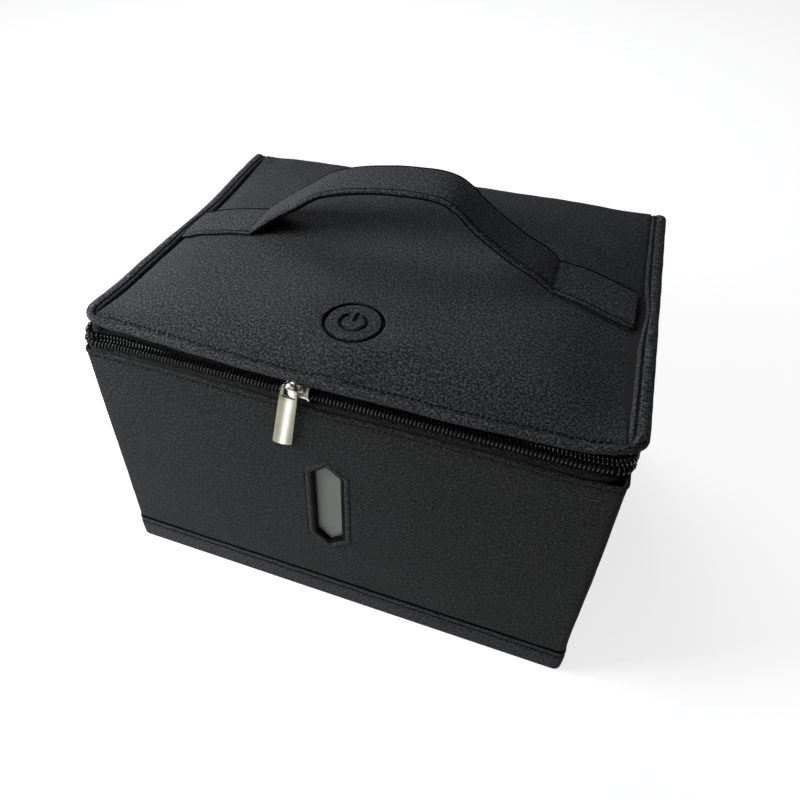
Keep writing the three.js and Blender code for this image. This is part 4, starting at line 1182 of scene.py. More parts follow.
# the cord that runs inside a coil
def makeCoilCore(name, side, body):
    across = side * zipper["coilWidth"] * zipper["cordShares"][0]
    proud = mix(zipper["coilBase"], zipper["coilTop"], zipper["cordShares"][1])
    marks = [zipper["coilEnd"] + i * zipper["pitch"] for i in range(coilTurns + 1)]
    points = [zipPoint(zipAt(mark), across, proud) for mark in marks]
    settle(tubeObject(name, points, zipper["cord"], zipper["cordSides"], thread), body, "zip_tape")


# the chain stitch that holds a coil to its tape dips between the turns
def makeCoilThread(name, side, body):
    across = side * zipper["coilWidth"] * zipper["threadShare"]
    step = zipper["pitch"] / 2
    points = []
    for i in range(int(coilLength / step)):
        lift = zipper["threadLifts"][i % 2]
        points.append(zipPoint(zipAt(zipper["coilEnd"] + i * step), across, zipper["coilTop"] + lift))
    obj = tubeObject(name, points, zipper["thread"], zipper["threadSides"], thread)
    settle(obj, body, "zip_tape")


def makeZipper():
    halves = (("lower", -1, "body"), ("upper", 1, "lid"))
    for word, side, body in halves:
        makeTape(f"{word}Tape", side, body, f"zip_tape_{word}")
    for word, side, body in halves:
        makeCoil(f"{word}Coil", side, body, f"zip_coil_{word}")
    for word, side, body in halves:
        makeCoilCore(f"{word}CoilCore", side, body)
        makeCoilThread(f"{word}CoilThread", side, body)


makeZipper()
print("stage: zipper made")


# Lid: crowned panel, seam band, hinge strip

lid = {
    "crown": 8.2 * mm,
    "crownPower": {"side": 5, "front": 12, "back": 4},  # how late the crown falls off towards each edge
    "sideDrop": 2.2 * mm,
    "frontDrop": 0.9 * mm,
    "blend": 24 * mm,
    "backBlendShare": 1.5,
    "buttonHole": 12.4 * mm,
    # the flat place round the button
    "seat": {"height": 6.5 * mm, "slope": 0.028, "reach": (13 * mm, 12 * mm)},
    "rise": {"place": (2 * mm, -68 * mm), "reach": (36 * mm, 26 * mm), "height": 2.3 * mm},
    "pockets": (
        {"place": (97 * mm, -22 * mm), "reach": (17 * mm, 34 * mm), "depth": 2.6 * mm},
        {"place": (98 * mm, -58 * mm), "reach": (11 * mm, 14 * mm), "depth": 1.4 * mm},
        {"place": (-98 * mm, 79 * mm), "reach": (7 * mm, 5 * mm), "depth": 1.5 * mm},
    ),
    "wave": {"size": 38 * mm, "depth": 0.8 * mm, "seed": 1.0},
    "pucker": {"size": 7 * mm, "depth": 0.16 * mm, "seed": 4.0},
    "calm": 22 * mm,  # round the button, where the cloth lies taut
    "fade": 14 * mm,  # the waves die out over this much beside the seams
    "step": 2 * mm,
    "edgeSteps": [0.4 * mm, 0.4 * mm, 0.4 * mm, 0.5 * mm, 0.6 * mm, 0.8 * mm, 1 * mm, 1.4 * mm],
    "thickness": 0.7 * mm,
    # how far the cloth runs on under the seams, and how it dives there
    "sideEdge": 1.6 * mm,
    "frontEdge": 2.4 * mm,
    "backEdge": 1.4 * mm,
    "sideTuck": {"depth": 1.7 * mm, "from": 0.7 * mm, "over": 2 * mm},
    "frontTuck": {"depth": 1.9 * mm, "from": 1.5 * mm, "over": 2.4 * mm, "ahead": 1.5 * mm},
    # the back edge as (backwards from the fold, down), in millimetres
    "backShape": [(-0.8, 0.15), (-0.35, 0.5), (-0.05, 1.1), (0.0, 2.0), (0.0, 3.6), (-0.1, 5.4)],
}
panelHalf = panelHigh.x
panelFront = -panelLow.y
lidTop = rimHigh.z
buttonY = (capLow.y + capHigh.y) / 2


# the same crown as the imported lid's
def lidHeight(x, y):
    power = lid["crownPower"]
    side = min(abs(x) / panelHalf, 1)
    nearFront = clamp(1 - (y + panelFront) / lid["blend"]) ** 2
    nearBack = clamp(1 - (halfDepth - y) / (lid["blend"] * lid["backBlendShare"])) ** 2
    edge = lidTop - lid["sideDrop"]
    edge += (lid["sideDrop"] - lid["frontDrop"]) * nearFront + lid["sideDrop"] * nearBack
    if y < 0:
        lengthwise = 1 - min(-y / panelFront, 1) ** power["front"]
    else:
        lengthwise = 1 - min(y / halfDepth, 1) ** power["back"]
    return edge + lid["crown"] * (1 - side ** power["side"]) * lengthwise


# the crown with the cloth's hollows, rise and waves, and the seat round the button
def clothHeight(x, y):
    height = lidHeight(x, y)
    for pocket in lid["pockets"]:
        (px, py), (rx, ry) = pocket["place"], pocket["reach"]
        height -= pocket["depth"] * hump(x - px, rx) * hump(y - py, ry)
    fromButton = math.hypot(x, y - buttonY)
    calm = 1 - hump(fromButton, lid["calm"])
    inside = ease((panelHalf - abs(x)) / lid["fade"]) * ease((y + panelFront) / lid["fade"])
    (swellX, swellY), (reachX, reachY) = lid["rise"]["place"], lid["rise"]["reach"]
    height += lid["rise"]["height"] * hump(x - swellX, reachX) * hump(y - swellY, reachY) * inside
    height += ripple((x, y, 0), lid["wave"]) * calm * inside
    seat = lid["seat"]
    level = lidTop + seat["height"] + (y - buttonY) * seat["slope"]
    height = mix(level, height, ease((fromButton - seat["reach"][0]) / seat["reach"][1]))
    return height + ripple((x, y, 0), lid["pucker"])


# how far the front seam hangs forward and down, as (place along it, amount), both in millimetres
seamSag = [
    (-113, -0.2), (-97, 0.1), (-90, 0.0), (-76, 0.4), (-57, 1.1), (-38, 1.7), (3, 2.2), (26, 2.1), (49, 2.35),
    (71, 1.9), (86, 1.7), (95, 1.4), (102, 0.6), (108, -0.3), (113, -0.7),
]


sag = {"from": -66 * mm, "over": 12 * mm, "direction": Vector((0, -1, -0.9))}


def frontSag(point):
    weight = ease((sag["from"] - point.y) / sag["over"])
    return sag["direction"] * between(seamSag, point.x / mm) * mm * weight


# grid places from low to high, closer together at the ends
def gridMarks(low, high, step, fine):
    count = round((high - low - 2 * sum(fine)) / step)
    marks = [low]
    for gap in fine:
        marks.append(marks[-1] + gap)
    first = marks[-1]
    last = high - sum(fine)
    marks += [mix(first, last, i / count) for i in range(1, count + 1)]
    for gap in reversed(fine):
        marks.append(marks[-1] + gap)
    return marks


def makeLidPanel():
    rows = []
    aside, ahead = lid["sideTuck"], lid["frontTuck"]
    steps = (lid["step"], lid["edgeSteps"])
    across = gridMarks(-panelHalf - lid["sideEdge"], panelHalf + lid["sideEdge"], *steps)
    for y in gridMarks(-panelFront - lid["frontEdge"], halfDepth - lid["backEdge"], *steps):
        row = []
        for x in across:
            nearSide = panelHalf - abs(x)  # below zero under the seam band
            nearFront = y + panelFront + ahead["ahead"]
            tuck = aside["depth"] * ease((aside["from"] - nearSide) / aside["over"])
            tuck = max(tuck, ahead["depth"] * ease((ahead["from"] - nearFront) / ahead["over"]))
            point = Vector((x, y, clothHeight(x, max(y, -panelFront)) - tuck))
            row.append(point + frontSag(point) + edgeBow(point))
        rows.append(row)
    last = rows[-1]
    for back, drop in lid["backShape"]:
        rows.append([Vector((p.x, halfDepth + back * mm, p.z - drop * mm)) for p in last])
    obj = thicken(gridObject("lidPanel", rows, lidCloth), lid["thickness"])
    cutWith(obj, buttonCutter())
    settle(obj, "lid", "cloth", "lid_top_fabric")
    makeButtonRoll()


buttonRim = {
    "clear": 0.2 * mm,
    "cut": (-8 * mm, 20 * mm),  # how far below and above the lid's seam the cut reaches
    "points": 96,
    "thickness": 0.3 * mm,
    # section of the facing, as (outwards from the hole, down), in millimetres
    "shape": [(1.6, 0.9), (0.6, 0.78), (0.2, 0.8), (0.02, 1.0), (0.0, 1.9), (-0.1, 2.9), (-1.2, 3.1)],
}


def buttonRing(radius, heightAt):
    row = []
    for angle in roundAngles(buttonRim["points"]):
        x = radius * math.cos(angle)
        y = buttonY + radius * math.sin(angle)
        row.append(Vector((x, y, heightAt(x, y))))
    return row


def buttonCutter():
    radius = lid["buttonHole"] + buttonRim["clear"]
    low, high = [buttonRing(radius, lambda x, y: lidTop + height) for height in buttonRim["cut"]]
    return makeObject("cutter", low + high, ringFaces(0, 2, buttonRim["points"]), lidCloth)


# the facing that lines the hole round the button, black as painted shade in the groove
def makeButtonRoll():
    rows = []
    for out, drop in buttonRim["shape"]:
        rows.append(buttonRing(lid["buttonHole"] + out * mm, lambda x, y: clothHeight(x, y) - drop * mm))
    obj = gridObject("buttonRoll", rows, frameBlack, wrap=True)
    settle(thicken(obj, buttonRim["thickness"]), "lid", "cloth")


pad = {
    "rows": 24,
    "columns": 32,
    "below": 1.9 * mm,  # under the lid's cloth
    "fall": 3 * mm,  # at its edges
    "fallReach": 8 * mm,
    "hollow": 4.5 * mm,  # round the button
    "hollowReach": (14 * mm, 4 * mm),
}


# cloth coordinates seen from above, so that the weave runs on from one piece to the next
def flatCloth(obj):
    layer = obj.data.uv_layers["cloth"].data
    for loop in obj.data.loops:
        point = obj.data.vertices[loop.vertex_index].co
        layer[loop.index].uv = (point.x + halfWidth, point.y + halfDepth)


def makeLidPad():
    low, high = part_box("lid_foam")
    start, over = pad["hollowReach"]
    lastRow, lastColumn = pad["rows"], pad["columns"]

    def height(x, y, edge):
        fall = pad["fall"] * (1 - ease(edge / pad["fallReach"]))
        hollow = pad["hollow"] * (1 - ease((math.hypot(x, y - buttonY) - start) / over))
        return clothHeight(x, y) - pad["below"] - fall - hollow

    # a wall down from the rim, and a flat underside
    def closeBelow(work):
        work.verts.ensure_lookup_table()
        places = [(0, c) for c in range(lastColumn)] + [(r, lastColumn) for r in range(lastRow)]
        places += [(lastRow, c) for c in range(lastColumn, 0, -1)] + [(r, 0) for r in range(lastRow, 0, -1)]
        rim = [work.verts[r * (lastColumn + 1) + c] for r, c in places]
        foot = [work.verts.new((v.co.x, v.co.y, low.z)) for v in rim]
        for i in range(len(rim)):
            wall = work.faces.new((rim[i - 1], foot[i - 1], foot[i], rim[i]))
            wall.smooth = True
        work.faces.new(foot)
        bmesh.ops.recalc_face_normals(work, faces=work.faces)

    obj = gridObject("lidPad", sheetRows(low, high, lastRow, lastColumn, height), padFoam)
    editMesh(obj, closeBelow)
    settle(obj, "lid", "foam", "lid_foam")


band = {
    "corner": 4.6 * mm,
    "cornerSteps": 10,
    "step": 2.5 * mm,
    "overhang": 3.4 * mm,
    "halfSide": 3.6 * mm,
    "halfFront": 3.3 * mm,
    "setBack": 5 * mm,
    "backEnd": 0.9 * mm,
    "below": 3.5 * mm,  # how far its middle lies below the lid's seam height
    "thickness": 0.7 * mm,
    "pucker": {"size": 8 * mm, "depth": 0.2 * mm, "seed": 2.0},
    "wave": {"size": 60 * mm, "depth": 0.35 * mm, "seed": 6.0},
    "stitchLift": 0.1 * mm,
    "groove": 10,  # the point of the section that the stitches lie at
    # painted shade: the rows of the stitched groove in darker cloth
    "darkRows": {9, 10},
    # the ends as (how far past, how much of the section is left)
    "endShares": [(0.7, 0.85), (1, 0.5), (1, 0.03)],
    "end": 0.5 * mm,
}
bandStops = aroundFront(
    halfWidth + band["overhang"] - band["halfSide"],
    band["setBack"] + band["halfFront"] - halfDepth,
    halfDepth - band["backEnd"],
    band["corner"],
)[1]
bandMiddle = lidTop - band["below"]
# the band's section beside the lid and along the front, as (outwards, up) in millimetres
bandSideShape = [
    (0.6, -2.6), (1.7, -3.2), (2.8, -2.7), (3.45, -1.5), (3.6, 0.0), (3.35, 1.5), (2.6, 2.7), (1.4, 3.35),
    (0.0, 3.5), (-1.35, 3.25), (-2.0, 2.5), (-2.35, 2.85), (-2.9, 2.85), (-3.35, 2.35), (-3.55, 1.4),
    (-3.5, 0.2),
]
bandFrontShape = [
    (0.8, -1.6), (1.6, -2.0), (2.3, -1.7), (2.85, -0.9), (3.05, 0.0), (2.9, 0.9), (2.4, 1.6), (1.8, 2.0),
    (1.2, 2.05), (0.8, 1.7), (0.45, 0.95), (0.1, 1.1), (-0.5, 1.1), (-1.2, 0.8), (-2.0, 0.4), (-3.0, 0.0),
]


def bandProfile(place):
    t = ease(place["turn"])
    shrink = place.get("shrink", 1.0)
    return [
        (mix(side[0], front[0], t) * shrink * mm, bandMiddle + mix(side[1], front[1], t) * shrink * mm)
        for side, front in zip(bandSideShape, bandFrontShape)
    ]


# stations past one end of the band, where it rounds off and closes
def bandCap(end):
    back = Vector((0, band["end"], 0))
    return [dict(end, point=end["point"] + back * move, shrink=shrink) for move, shrink in band["endShares"]]


strap = {
    "width": strapHigh.y - strapLow.y,
    "place": (strapHigh.y + strapLow.y) / 2,
    "thickness": 2.95 * mm,
    "above": 0.3 * mm,  # over the lid's cloth
    "past": 1.1 * mm,  # how far the sewn ends run on under the seam band
    "drift": 3.2 * mm,  # how far the sewn ends stray towards the front
    "driftReach": (6 * mm, 40 * mm),
    "seam": 69 * mm,
    "pinch": 1.1 * mm,  # half the length that a cross seam pulls in
    "pinchShare": 0.5,
    "pinchLevel": 1.5 * mm,  # it pulls in only the part of the section above this
    "pressShare": 0.3,  # pressed flat by this share where it is sewn down
    "pressReach": 5 * mm,
    "layReach": (1 * mm, 7 * mm),  # from where to where it comes to lie on the cloth
    "rise": 31.9 * mm,
    "archPlaceShares": [-0.83, -0.67, -0.5, -0.39, -0.19, 0.06, 0.29, 0.38, 0.49, 0.61, 0.74, 0.87],
    "archHeightShares": [0.27, 0.5, 0.75, 0.84, 0.94, 1, 0.98, 0.88, 0.67, 0.49, 0.31, 0.17],
    "tabShares": [1.5, 1.38, 1.22, 1.1, 1],
    "steps": 190,
    "pucker": {"size": 11 * mm, "depth": 0.22 * mm, "seed": 8.0},
    "stitchAt": (1.62 * mm, 2.35 * mm),  # in from the edge, and up
    "crossAt": (0.4 * mm, 1.9 * mm),  # past the seam line, and up
    "crossEnd": 2 * mm,
    "crossSteps": 12,
    "darkRows": {1, 2, 3, 10, 11, 12, 20, 21, 22, 29, 30, 31},  # painted shade: black in the stitched grooves and under the edges
}
# the left edge bows in beside the handle, the left front corner curls up and the right one is rounder
bow = {
    "leftFrom": (-92 * mm, 14 * mm),
    "middle": 22 * mm,
    "reach": 36 * mm,
    "move": Vector((1.9 * mm, 0, -0.7 * mm)),
    "curlFrom": (-96 * mm, 12 * mm),
    "curlFront": (-50 * mm, 28 * mm),
    "curl": Vector((0, 0, 1.3 * mm)),
    "corner": (112 * mm, -84 * mm),
    "cornerReach": 9 * mm,
    "rounding": Vector((-1.1 * mm, 1.1 * mm, 0)),
}


def edgeBow(point):
    side = ease((bow["leftFrom"][0] - point.x) / bow["leftFrom"][1])
    side *= hump(point.y - bow["middle"], bow["reach"])
    curl = ease((bow["curlFrom"][0] - point.x) / bow["curlFrom"][1])
    curl *= ease((bow["curlFront"][0] - point.y) / bow["curlFront"][1])
    fromCorner = math.hypot(point.x - bow["corner"][0], point.y - bow["corner"][1])
    return bow["move"] * side + bow["curl"] * curl + bow["rounding"] * hump(fromCorner, bow["cornerReach"])


# the handle's sewn ends push the seam band's inner edge outwards
push = {"amount": 1.7 * mm, "edge": (4 * mm, 3 * mm), "ahead": 3 * mm, "widthShare": 0.55, "front": -40 * mm}


def tabPush(point):
    if point.y <= push["front"]:
        return Vector((0, 0, 0))
    inner = ease((panelHalf + push["edge"][0] - abs(point.x)) / push["edge"][1])
    beside = hump(point.y - strap["place"] + push["ahead"], strap["width"] * push["widthShare"])
    return Vector((math.copysign(push["amount"], point.x), 0, 0)) * inner * beside


frontSeam = {"end": 5 * mm, "ahead": 0.9 * mm, "below": 0.58 * mm, "radius": 0.34 * mm, "steps": 60}


def makeBand():
    stations = bandStops(band["step"], band["cornerSteps"])
    capped = bandCap(stations[0])[::-1] + stations + bandCap(stations[-1])
    obj = sweep("seamBand", capped, bandProfile, bandCloth)
    paintRows(obj, band["darkRows"], len(capped) - 1, darkCloth)
    for vertex in obj.data.vertices:
        vertex.co += vertex.normal * ripple(vertex.co, band["pucker"])
        vertex.co.z += ripple(vertex.co, band["wave"])
        vertex.co += frontSag(vertex.co) + edgeBow(vertex.co) + tabPush(vertex.co)
    settle(thicken(obj, band["thickness"]), "lid", "cloth", "lid_rim")
    rail = []
    for place in stations:
        out, up = bandProfile(place)[band["groove"]]
        seat = place["point"] + place["out"] * out + Vector((0, 0, up + band["stitchLift"]))
        rail.append((seat + frontSag(seat) + edgeBow(seat) + tabPush(seat), upward))
    stitchRow("bandStitches", rail, "lid", "cloth")
    seam = []
    for i in range(frontSeam["steps"] + 1):
        x = mix(-1, 1, i / frontSeam["steps"]) * (panelHalf - frontSeam["end"])
        z = clothHeight(x, -panelFront) - frontSeam["below"]
        seat = Vector((x, -panelFront - frontSeam["ahead"], z))
        seam.append((seat + frontSag(seat) + edgeBow(seat), upward))
    stitchRow("frontSeamStitches", seam, "lid", "cloth", dict(stitch, radius=frontSeam["radius"]))


# the back fold that the lid turns on: a strip of the same cloth sewn to the body and to the lid
hingeStrip = {
    "low": 9 * mm,
    "high": 6.5 * mm,
    "proud": 0.55 * mm,
    "halfLength": halfWidth - 0.5 * mm,
    "count": 100,
    "rows": 14,
    "thickness": 0.5 * mm,
    "seamShares": (0.12, 0.88),  # heights of its two seams
    "seamDepth": 0.35 * mm,
    "seamWidth": 0.05,
    "edge": -0.2 * mm,
    "ripple": {"size": 8 * mm, "depth": 0.2 * mm, "seed": 9.0},
    "rippleHeight": 10 * mm,
    "bend": 3.5 * mm,  # it bends within this distance of the fold
    "stitchProud": 0.3 * mm,
    "stitchSteps": 30,
}


def makeHingeStrip():
    strip = hingeStrip
    low = foldHeight - strip["low"]
    high = foldHeight + strip["high"]
    columns = []
    for c in range(strip["count"] + 1):
        x = mix(strip["halfLength"], -strip["halfLength"], c / strip["count"])
        past = max(abs(x) - halfWidth + walls["corner"], 0)
        wrap = past ** 2 / (2 * walls["corner"])
        column = []
        for r in range(strip["rows"] + 1):
            t = r / strip["rows"]
            seams = [strip["seamDepth"] * hump(t - at, strip["seamWidth"]) for at in strip["seamShares"]]
            bulge = strip["edge"] if r in (0, strip["rows"]) else strip["proud"] - seams[0] - seams[1]
            bulge += ripple((x, t * strip["rippleHeight"], 0), strip["ripple"])
            column.append(Vector((x, halfDepth + bulge - wrap, mix(low, high, t))))
        columns.append(column)
    obj = thicken(gridObject("hingeStrip", rowsFrom(columns), bodyCloth), strip["thickness"])
    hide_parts("lid_back_fabric")
    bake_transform(obj)
    end = strip["halfLength"] - walls["corner"]
    places = [mix(-1, 1, i / strip["stitchSteps"]) * end for i in range(strip["stitchSteps"] + 1)]
    for word, share, body in zip(("Low", "High"), strip["seamShares"], ("body", "lid")):
        height = low + (high - low) * share
        y = halfDepth + strip["stitchProud"]
        path = [(Vector((x, y, height)), Vector((0, 1, 0))) for x in places]
        stitchRow(f"hingeStitches{word}", path, body, "cloth")


makeLidPanel()
makeLidPad()
makeBand()
makeHingeStrip()
print("stage: lid made")


# Handle: two layers with a rolled edge, arched between its cross seams

def strapLine():
    endX = panelHalf + strap["past"]

    def onLid(x):
        return Vector((x, 0, lidHeight(x, strap["place"]) + strap["above"]))

    seamHeight = onLid(strap["seam"]).z
    tab = [min(strap["seam"] * share, endX) for share in strap["tabShares"]]
    points = [onLid(-x) for x in tab]
    for share, height in zip(strap["archPlaceShares"], strap["archHeightShares"]):
        points.append(Vector((strap["seam"] * share, 0, seamHeight + strap["rise"] * height)))
    return points + [onLid(x) for x in reversed(tab)]


leastGap = 0.1 * mm
spanSteps = 24


# a smooth line through the points, spaced evenly along its length
def smoothLine(points, count):
    dense = []
    padded = points[:1] + points + points[-1:]
    for p0, p1, p2, p3 in zip(padded, padded[1:], padded[2:], padded[3:]):
        d1, d2, d3 = [max((b - a).length, leastGap) ** 0.5 for a, b in ((p0, p1), (p1, p2), (p2, p3))]
        m1 = ((p1 - p0) / d1 - (p2 - p0) / (d1 + d2) + (p2 - p1) / d2) * d2
        m2 = ((p2 - p1) / d2 - (p3 - p1) / (d2 + d3) + (p3 - p2) / d3) * d2
        for k in range(spanSteps):
            t = k / spanSteps
            a = p1 * (2 * t ** 3 - 3 * t ** 2 + 1) + m1 * (t ** 3 - 2 * t ** 2 + t)
            dense.append(a + p2 * (3 * t ** 2 - 2 * t ** 3) + m2 * (t ** 3 - t ** 2))
    dense.append(points[-1])
    marks = running(dense)
    found = []
    index = 0
    for i in range(count + 1):
        mark = marks[-1] * i / count
        while index < len(marks) - 2 and marks[index + 1] < mark:
            index += 1
        t = (mark - marks[index]) / max(marks[index + 1] - marks[index], 1e-9)
        found.append(dense[index].lerp(dense[index + 1], t))
    return found


# the strap's section as (how far in from its front or back edge, height), from underneath over the edge
strapEdge = [
    (6.0, 0.05), (1.1, 0.0), (0.85, 0.4), (0.85, 0.95), (1.1, 1.2), (0.35, 1.3), (0.05, 1.65), (0.05, 2.1),
    (0.35, 2.6), (0.85, 2.85), (1.3, 2.75), (1.5, 2.25), (1.75, 2.25), (1.95, 2.75), (2.5, 2.88), (4.5, 2.92),
]


def makeHandle():
    line = smoothLine(strapLine(), strap["steps"])
    half = strap["width"] / 2
    section = [(inset * mm - half, up * mm) for inset, up in strapEdge] + [(0.0, strap["thickness"])]
    section += [(half - inset * mm, up * mm) for inset, up in reversed(strapEdge)]
    stitchIn, stitchUp = strap["stitchAt"]
    driftFrom, driftOver = strap["driftReach"]
    layFrom, layOver = strap["layReach"]
    columns = []
    rails = {1: [], -1: []}
    for i, point in enumerate(line):
        along = directionAt(line, i)
        normal = Vector((-along.z, 0, along.x))
        past = abs(point.x) - strap["seam"]
        pinch = 1 - strap["pinchShare"] * hump(past, strap["pinch"])
        flat = 1 - strap["pressShare"] * ease(past / strap["pressReach"])
        place = strap["place"] - strap["drift"] * ease((past + driftFrom) / driftOver)
        lies = ease((past + layFrom) / layOver)
        under = lidHeight(point.x, strap["place"])

        def drape(y):
            return Vector((0, y, (clothHeight(point.x, y) - under) * lies))

        column = []
        for y, up in section:
            height = up * flat * (pinch if up > strap["pinchLevel"] else 1)
            column.append(point + normal * height + drape(place + y))
        columns.append(column)
        for side in (1, -1):
            seat = point + normal * stitchUp * flat * pinch
            rails[side].append((seat + drape(place + side * (half - stitchIn)), normal))
    rows = rowsFrom(columns)
    obj = gridObject("handleStrap", rows + rows[:1], bandCloth)
    paintRows(obj, strap["darkRows"], len(columns) - 1, frameBlack)
    weldSeam(obj, len(section) + 2)
    facingOut(obj)
    roughen(obj, strap["pucker"])
    settle(obj, "lid", "cloth", "handle_strap", "handle_backing")
    for word, side in (("Back", 1), ("Front", -1)):
        stitchRow(f"handleStitches{word}", rails[side], "lid", "cloth", fineStitch)
    crossPast, crossUp = strap["crossAt"]
    for word, side in (("Left", -1), ("Right", 1)):
        x = side * (strap["seam"] + crossPast)
        z = lidHeight(x, strap["place"]) + crossUp
        end = half - strap["crossEnd"]
        steps = strap["crossSteps"]
        ys = [mix(-end, end, k / steps) + strap["place"] for k in range(steps + 1)]
        path = [(Vector((x, y, z)), upward) for y in ys]
        stitchRow(f"crossSeam{word}", path, "lid", "cloth", fineStitch)


makeHandle()
print("stage: handle made")


# Power button: a cap covered in the lid's cloth, with the symbol pressed into it

button = {
    "radius": 11.15 * mm,
    "above": 0.1 * mm,  # over the level of the lid's cloth
    "symbolRadius": 6 * mm,
    "symbolWidth": 1.5 * mm,
    "opening": 38,  # degrees that the ring is open to each side of the bar
    "depth": 0.95 * mm,
    "soft": 0.55 * mm,  # over which the pressed edge slopes
    "bar": 5.8 * mm,
    "barPast": 0.4 * mm,
    "edge": 0.4 * mm,
    "edgeShare": 0.95,  # of the radius, where the edge starts to round off
    "darkShares": (0.55, 0.985),  # painted shade: the dark cloth starts at this depth of the symbol, or this far out on the cap's edge
    "skirt": 0.6 * mm,
    "rings": 56,
    "spokes": 112,
}


# how deep the pressed power symbol is at a place on the cap, from 0 to 1
def symbolAt(x, y):
    half = button["symbolWidth"] / 2
    middle = button["symbolRadius"] - half
    ring = abs(math.hypot(x, y) - middle) - half
    opening = math.radians(button["opening"])
    if abs(math.atan2(x, y)) < opening:
        ring = math.hypot(abs(x) - middle * math.sin(opening), y - middle * math.cos(opening)) - half
    barTop = button["symbolRadius"] + button["barPast"]
    barLow = barTop - button["bar"]
    bar = math.hypot(x, y - max(barLow + half, min(barTop - half, y))) - half
    return ease(0.5 - min(ring, bar) / button["soft"])


def makeButtonCap():
    radius = button["radius"]
    spokes = button["spokes"]
    edgeShare = button["edgeShare"]
    deep, outer = button["darkShares"]

    def heightAt(x, y):
        return clothHeight(x, buttonY + y) - button["depth"] * symbolAt(x, y) + button["above"]

    rows = [[Vector((0, buttonY, heightAt(0, 0)))] * spokes]
    for r in range(1, button["rings"] + 1):
        share = r / button["rings"]
        row = []
        for angle in roundAngles(spokes):
            x = radius * share * math.cos(-angle)
            y = radius * share * math.sin(-angle)
            height = heightAt(x, y) - button["edge"] * ease((share - edgeShare) / (1 - edgeShare))
            row.append(Vector((x, buttonY + y, height)))
        rows.append(row)
    rows.append([Vector((p.x, p.y, p.z - button["skirt"])) for p in rows[-1]])
    obj = gridObject("buttonCap", rows, capCloth, wrap=True)
    flatCloth(obj)
    # painted shade: darker cloth in the pressed symbol and on the cap's edge in the groove
    obj.data.materials.append(darkCloth)
    for face in obj.data.polygons:
        x, y = face.center.x, face.center.y - buttonY
        if symbolAt(x, y) > deep or math.hypot(x, y) > radius * outer:
            face.material_index = 1

    def closeMiddle(work):
        bmesh.ops.remove_doubles(work, verts=work.verts, dist=weldReach / 2)
        bmesh.ops.recalc_face_normals(work, faces=work.faces)

    editMesh(obj, closeMiddle)
    settle(obj, "button", "button_plastic", "power_button")


makeButtonCap()
print("stage: button made")


# Slider and pull in warm nickel

sliderLow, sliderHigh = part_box("slider_body")
slider = {
    "middle": (sliderLow.x + sliderHigh.x) / 2,
    "top": 3.9 * mm,  # how proud the top plate stands
    "rolls": (0.5 * mm, 1.35 * mm),  # how far its lower and upper edges turn down
    "rollShares": (0.8, 0.15),  # from where on
    "upperShare": 0.68,  # its upper half is narrower than its lower half
    "ends": (-5.1 * mm, 5.5 * mm),
    "hollow": 0.9 * mm,  # the wide end is hollowed between its two corners
    "crown": 0.25 * mm,
    "bottom": -0.9 * mm,
    "bottomShare": 0.85,
    "thickness": 0.75 * mm,
    "edge": 0.16 * mm,
    "edgeSteps": 3,
    "sharpFrom": 40,  # degrees, what counts as an edge to round
    "columns": 26,
    "rows": 14,
    "postSink": (0.3 * mm, 0.2 * mm),
    # the post's section, as (along, across) in millimetres
    "post": [(-4.3, -0.5), (-2.6, -0.45), (-2.2, 0.0), (-2.6, 0.45), (-4.3, 0.5)],
}
# the plates' half width, as (place along them, half width), both in millimetres
plateHalf = [
    (-5.2, 0.5), (-4.4, 1.5), (-3.3, 2.7), (-2.0, 3.4), (-0.5, 3.5), (1.8, 3.25), (3.8, 3.3), (5.5, 3.8),
]


def sliderPoint(x, across, proud):
    out = proud * math.cos(zipTilt) - across * math.sin(zipTilt)
    up = across * math.cos(zipTilt) + proud * math.sin(zipTilt)
    return Vector((slider["middle"] + x, zipper["inset"] - halfDepth - out, foldHeight + up))


def makeSliderPlate(name, top, shrink, rolls):
    lowerRoll, upperRoll = slider["rollShares"]
    start, end = slider["ends"]
    rows = []
    for r in range(slider["rows"] + 1):
        share = mix(-1, 1, r / slider["rows"])
        width = shrink * (slider["upperShare"] if share > 0 else 1)
        bulge = 1 - share ** 2
        turned = rolls[1] * ease((share - upperRoll) / (1 - upperRoll))
        turned += rolls[0] * ease((-share - lowerRoll) / (1 - lowerRoll))
        row = []
        for c in range(slider["columns"] + 1):
            x = mix(start, end - slider["hollow"] * bulge, c / slider["columns"])
            across = share * between(plateHalf, x / mm) * mm * width
            row.append(sliderPoint(x, across, top + slider["crown"] * bulge - turned))
        rows.append(row)
    return roundOff(thicken(gridObject(name, rows, nickel), slider["thickness"]), slider["edge"])


def roundOff(obj, width):
    bevel = obj.modifiers.new("edges", "BEVEL")
    bevel.width = width
    bevel.segments = slider["edgeSteps"]
    bevel.limit_method = "ANGLE"
    bevel.angle_limit = math.radians(slider["sharpFrom"])
    return applyModifiers(obj)


# a flat band that arches over the top plate
bridge = {
    "top": 7.15 * mm,
    "foot": -0.3 * mm,  # it starts this far into the top plate
    "bend": 1.15 * mm,
    "bends": ((-2.6 * mm, 180), (1.7 * mm, 90)),  # where its two bends lie, and the angle each starts from
    # where each end's foot and side stand, and the share of the height that the side reaches
    "ends": ((-3.7 * mm, -3.75 * mm, 0.5), (2.9 * mm, 2.9 * mm, 0.4)),
    "bendSteps": 6,
    "powers": (0.4, 0.6),  # how square the section is, sideways and upwards
    "width": 2.3 * mm,
    "half": 0.45 * mm,
    "sides": 16,
}


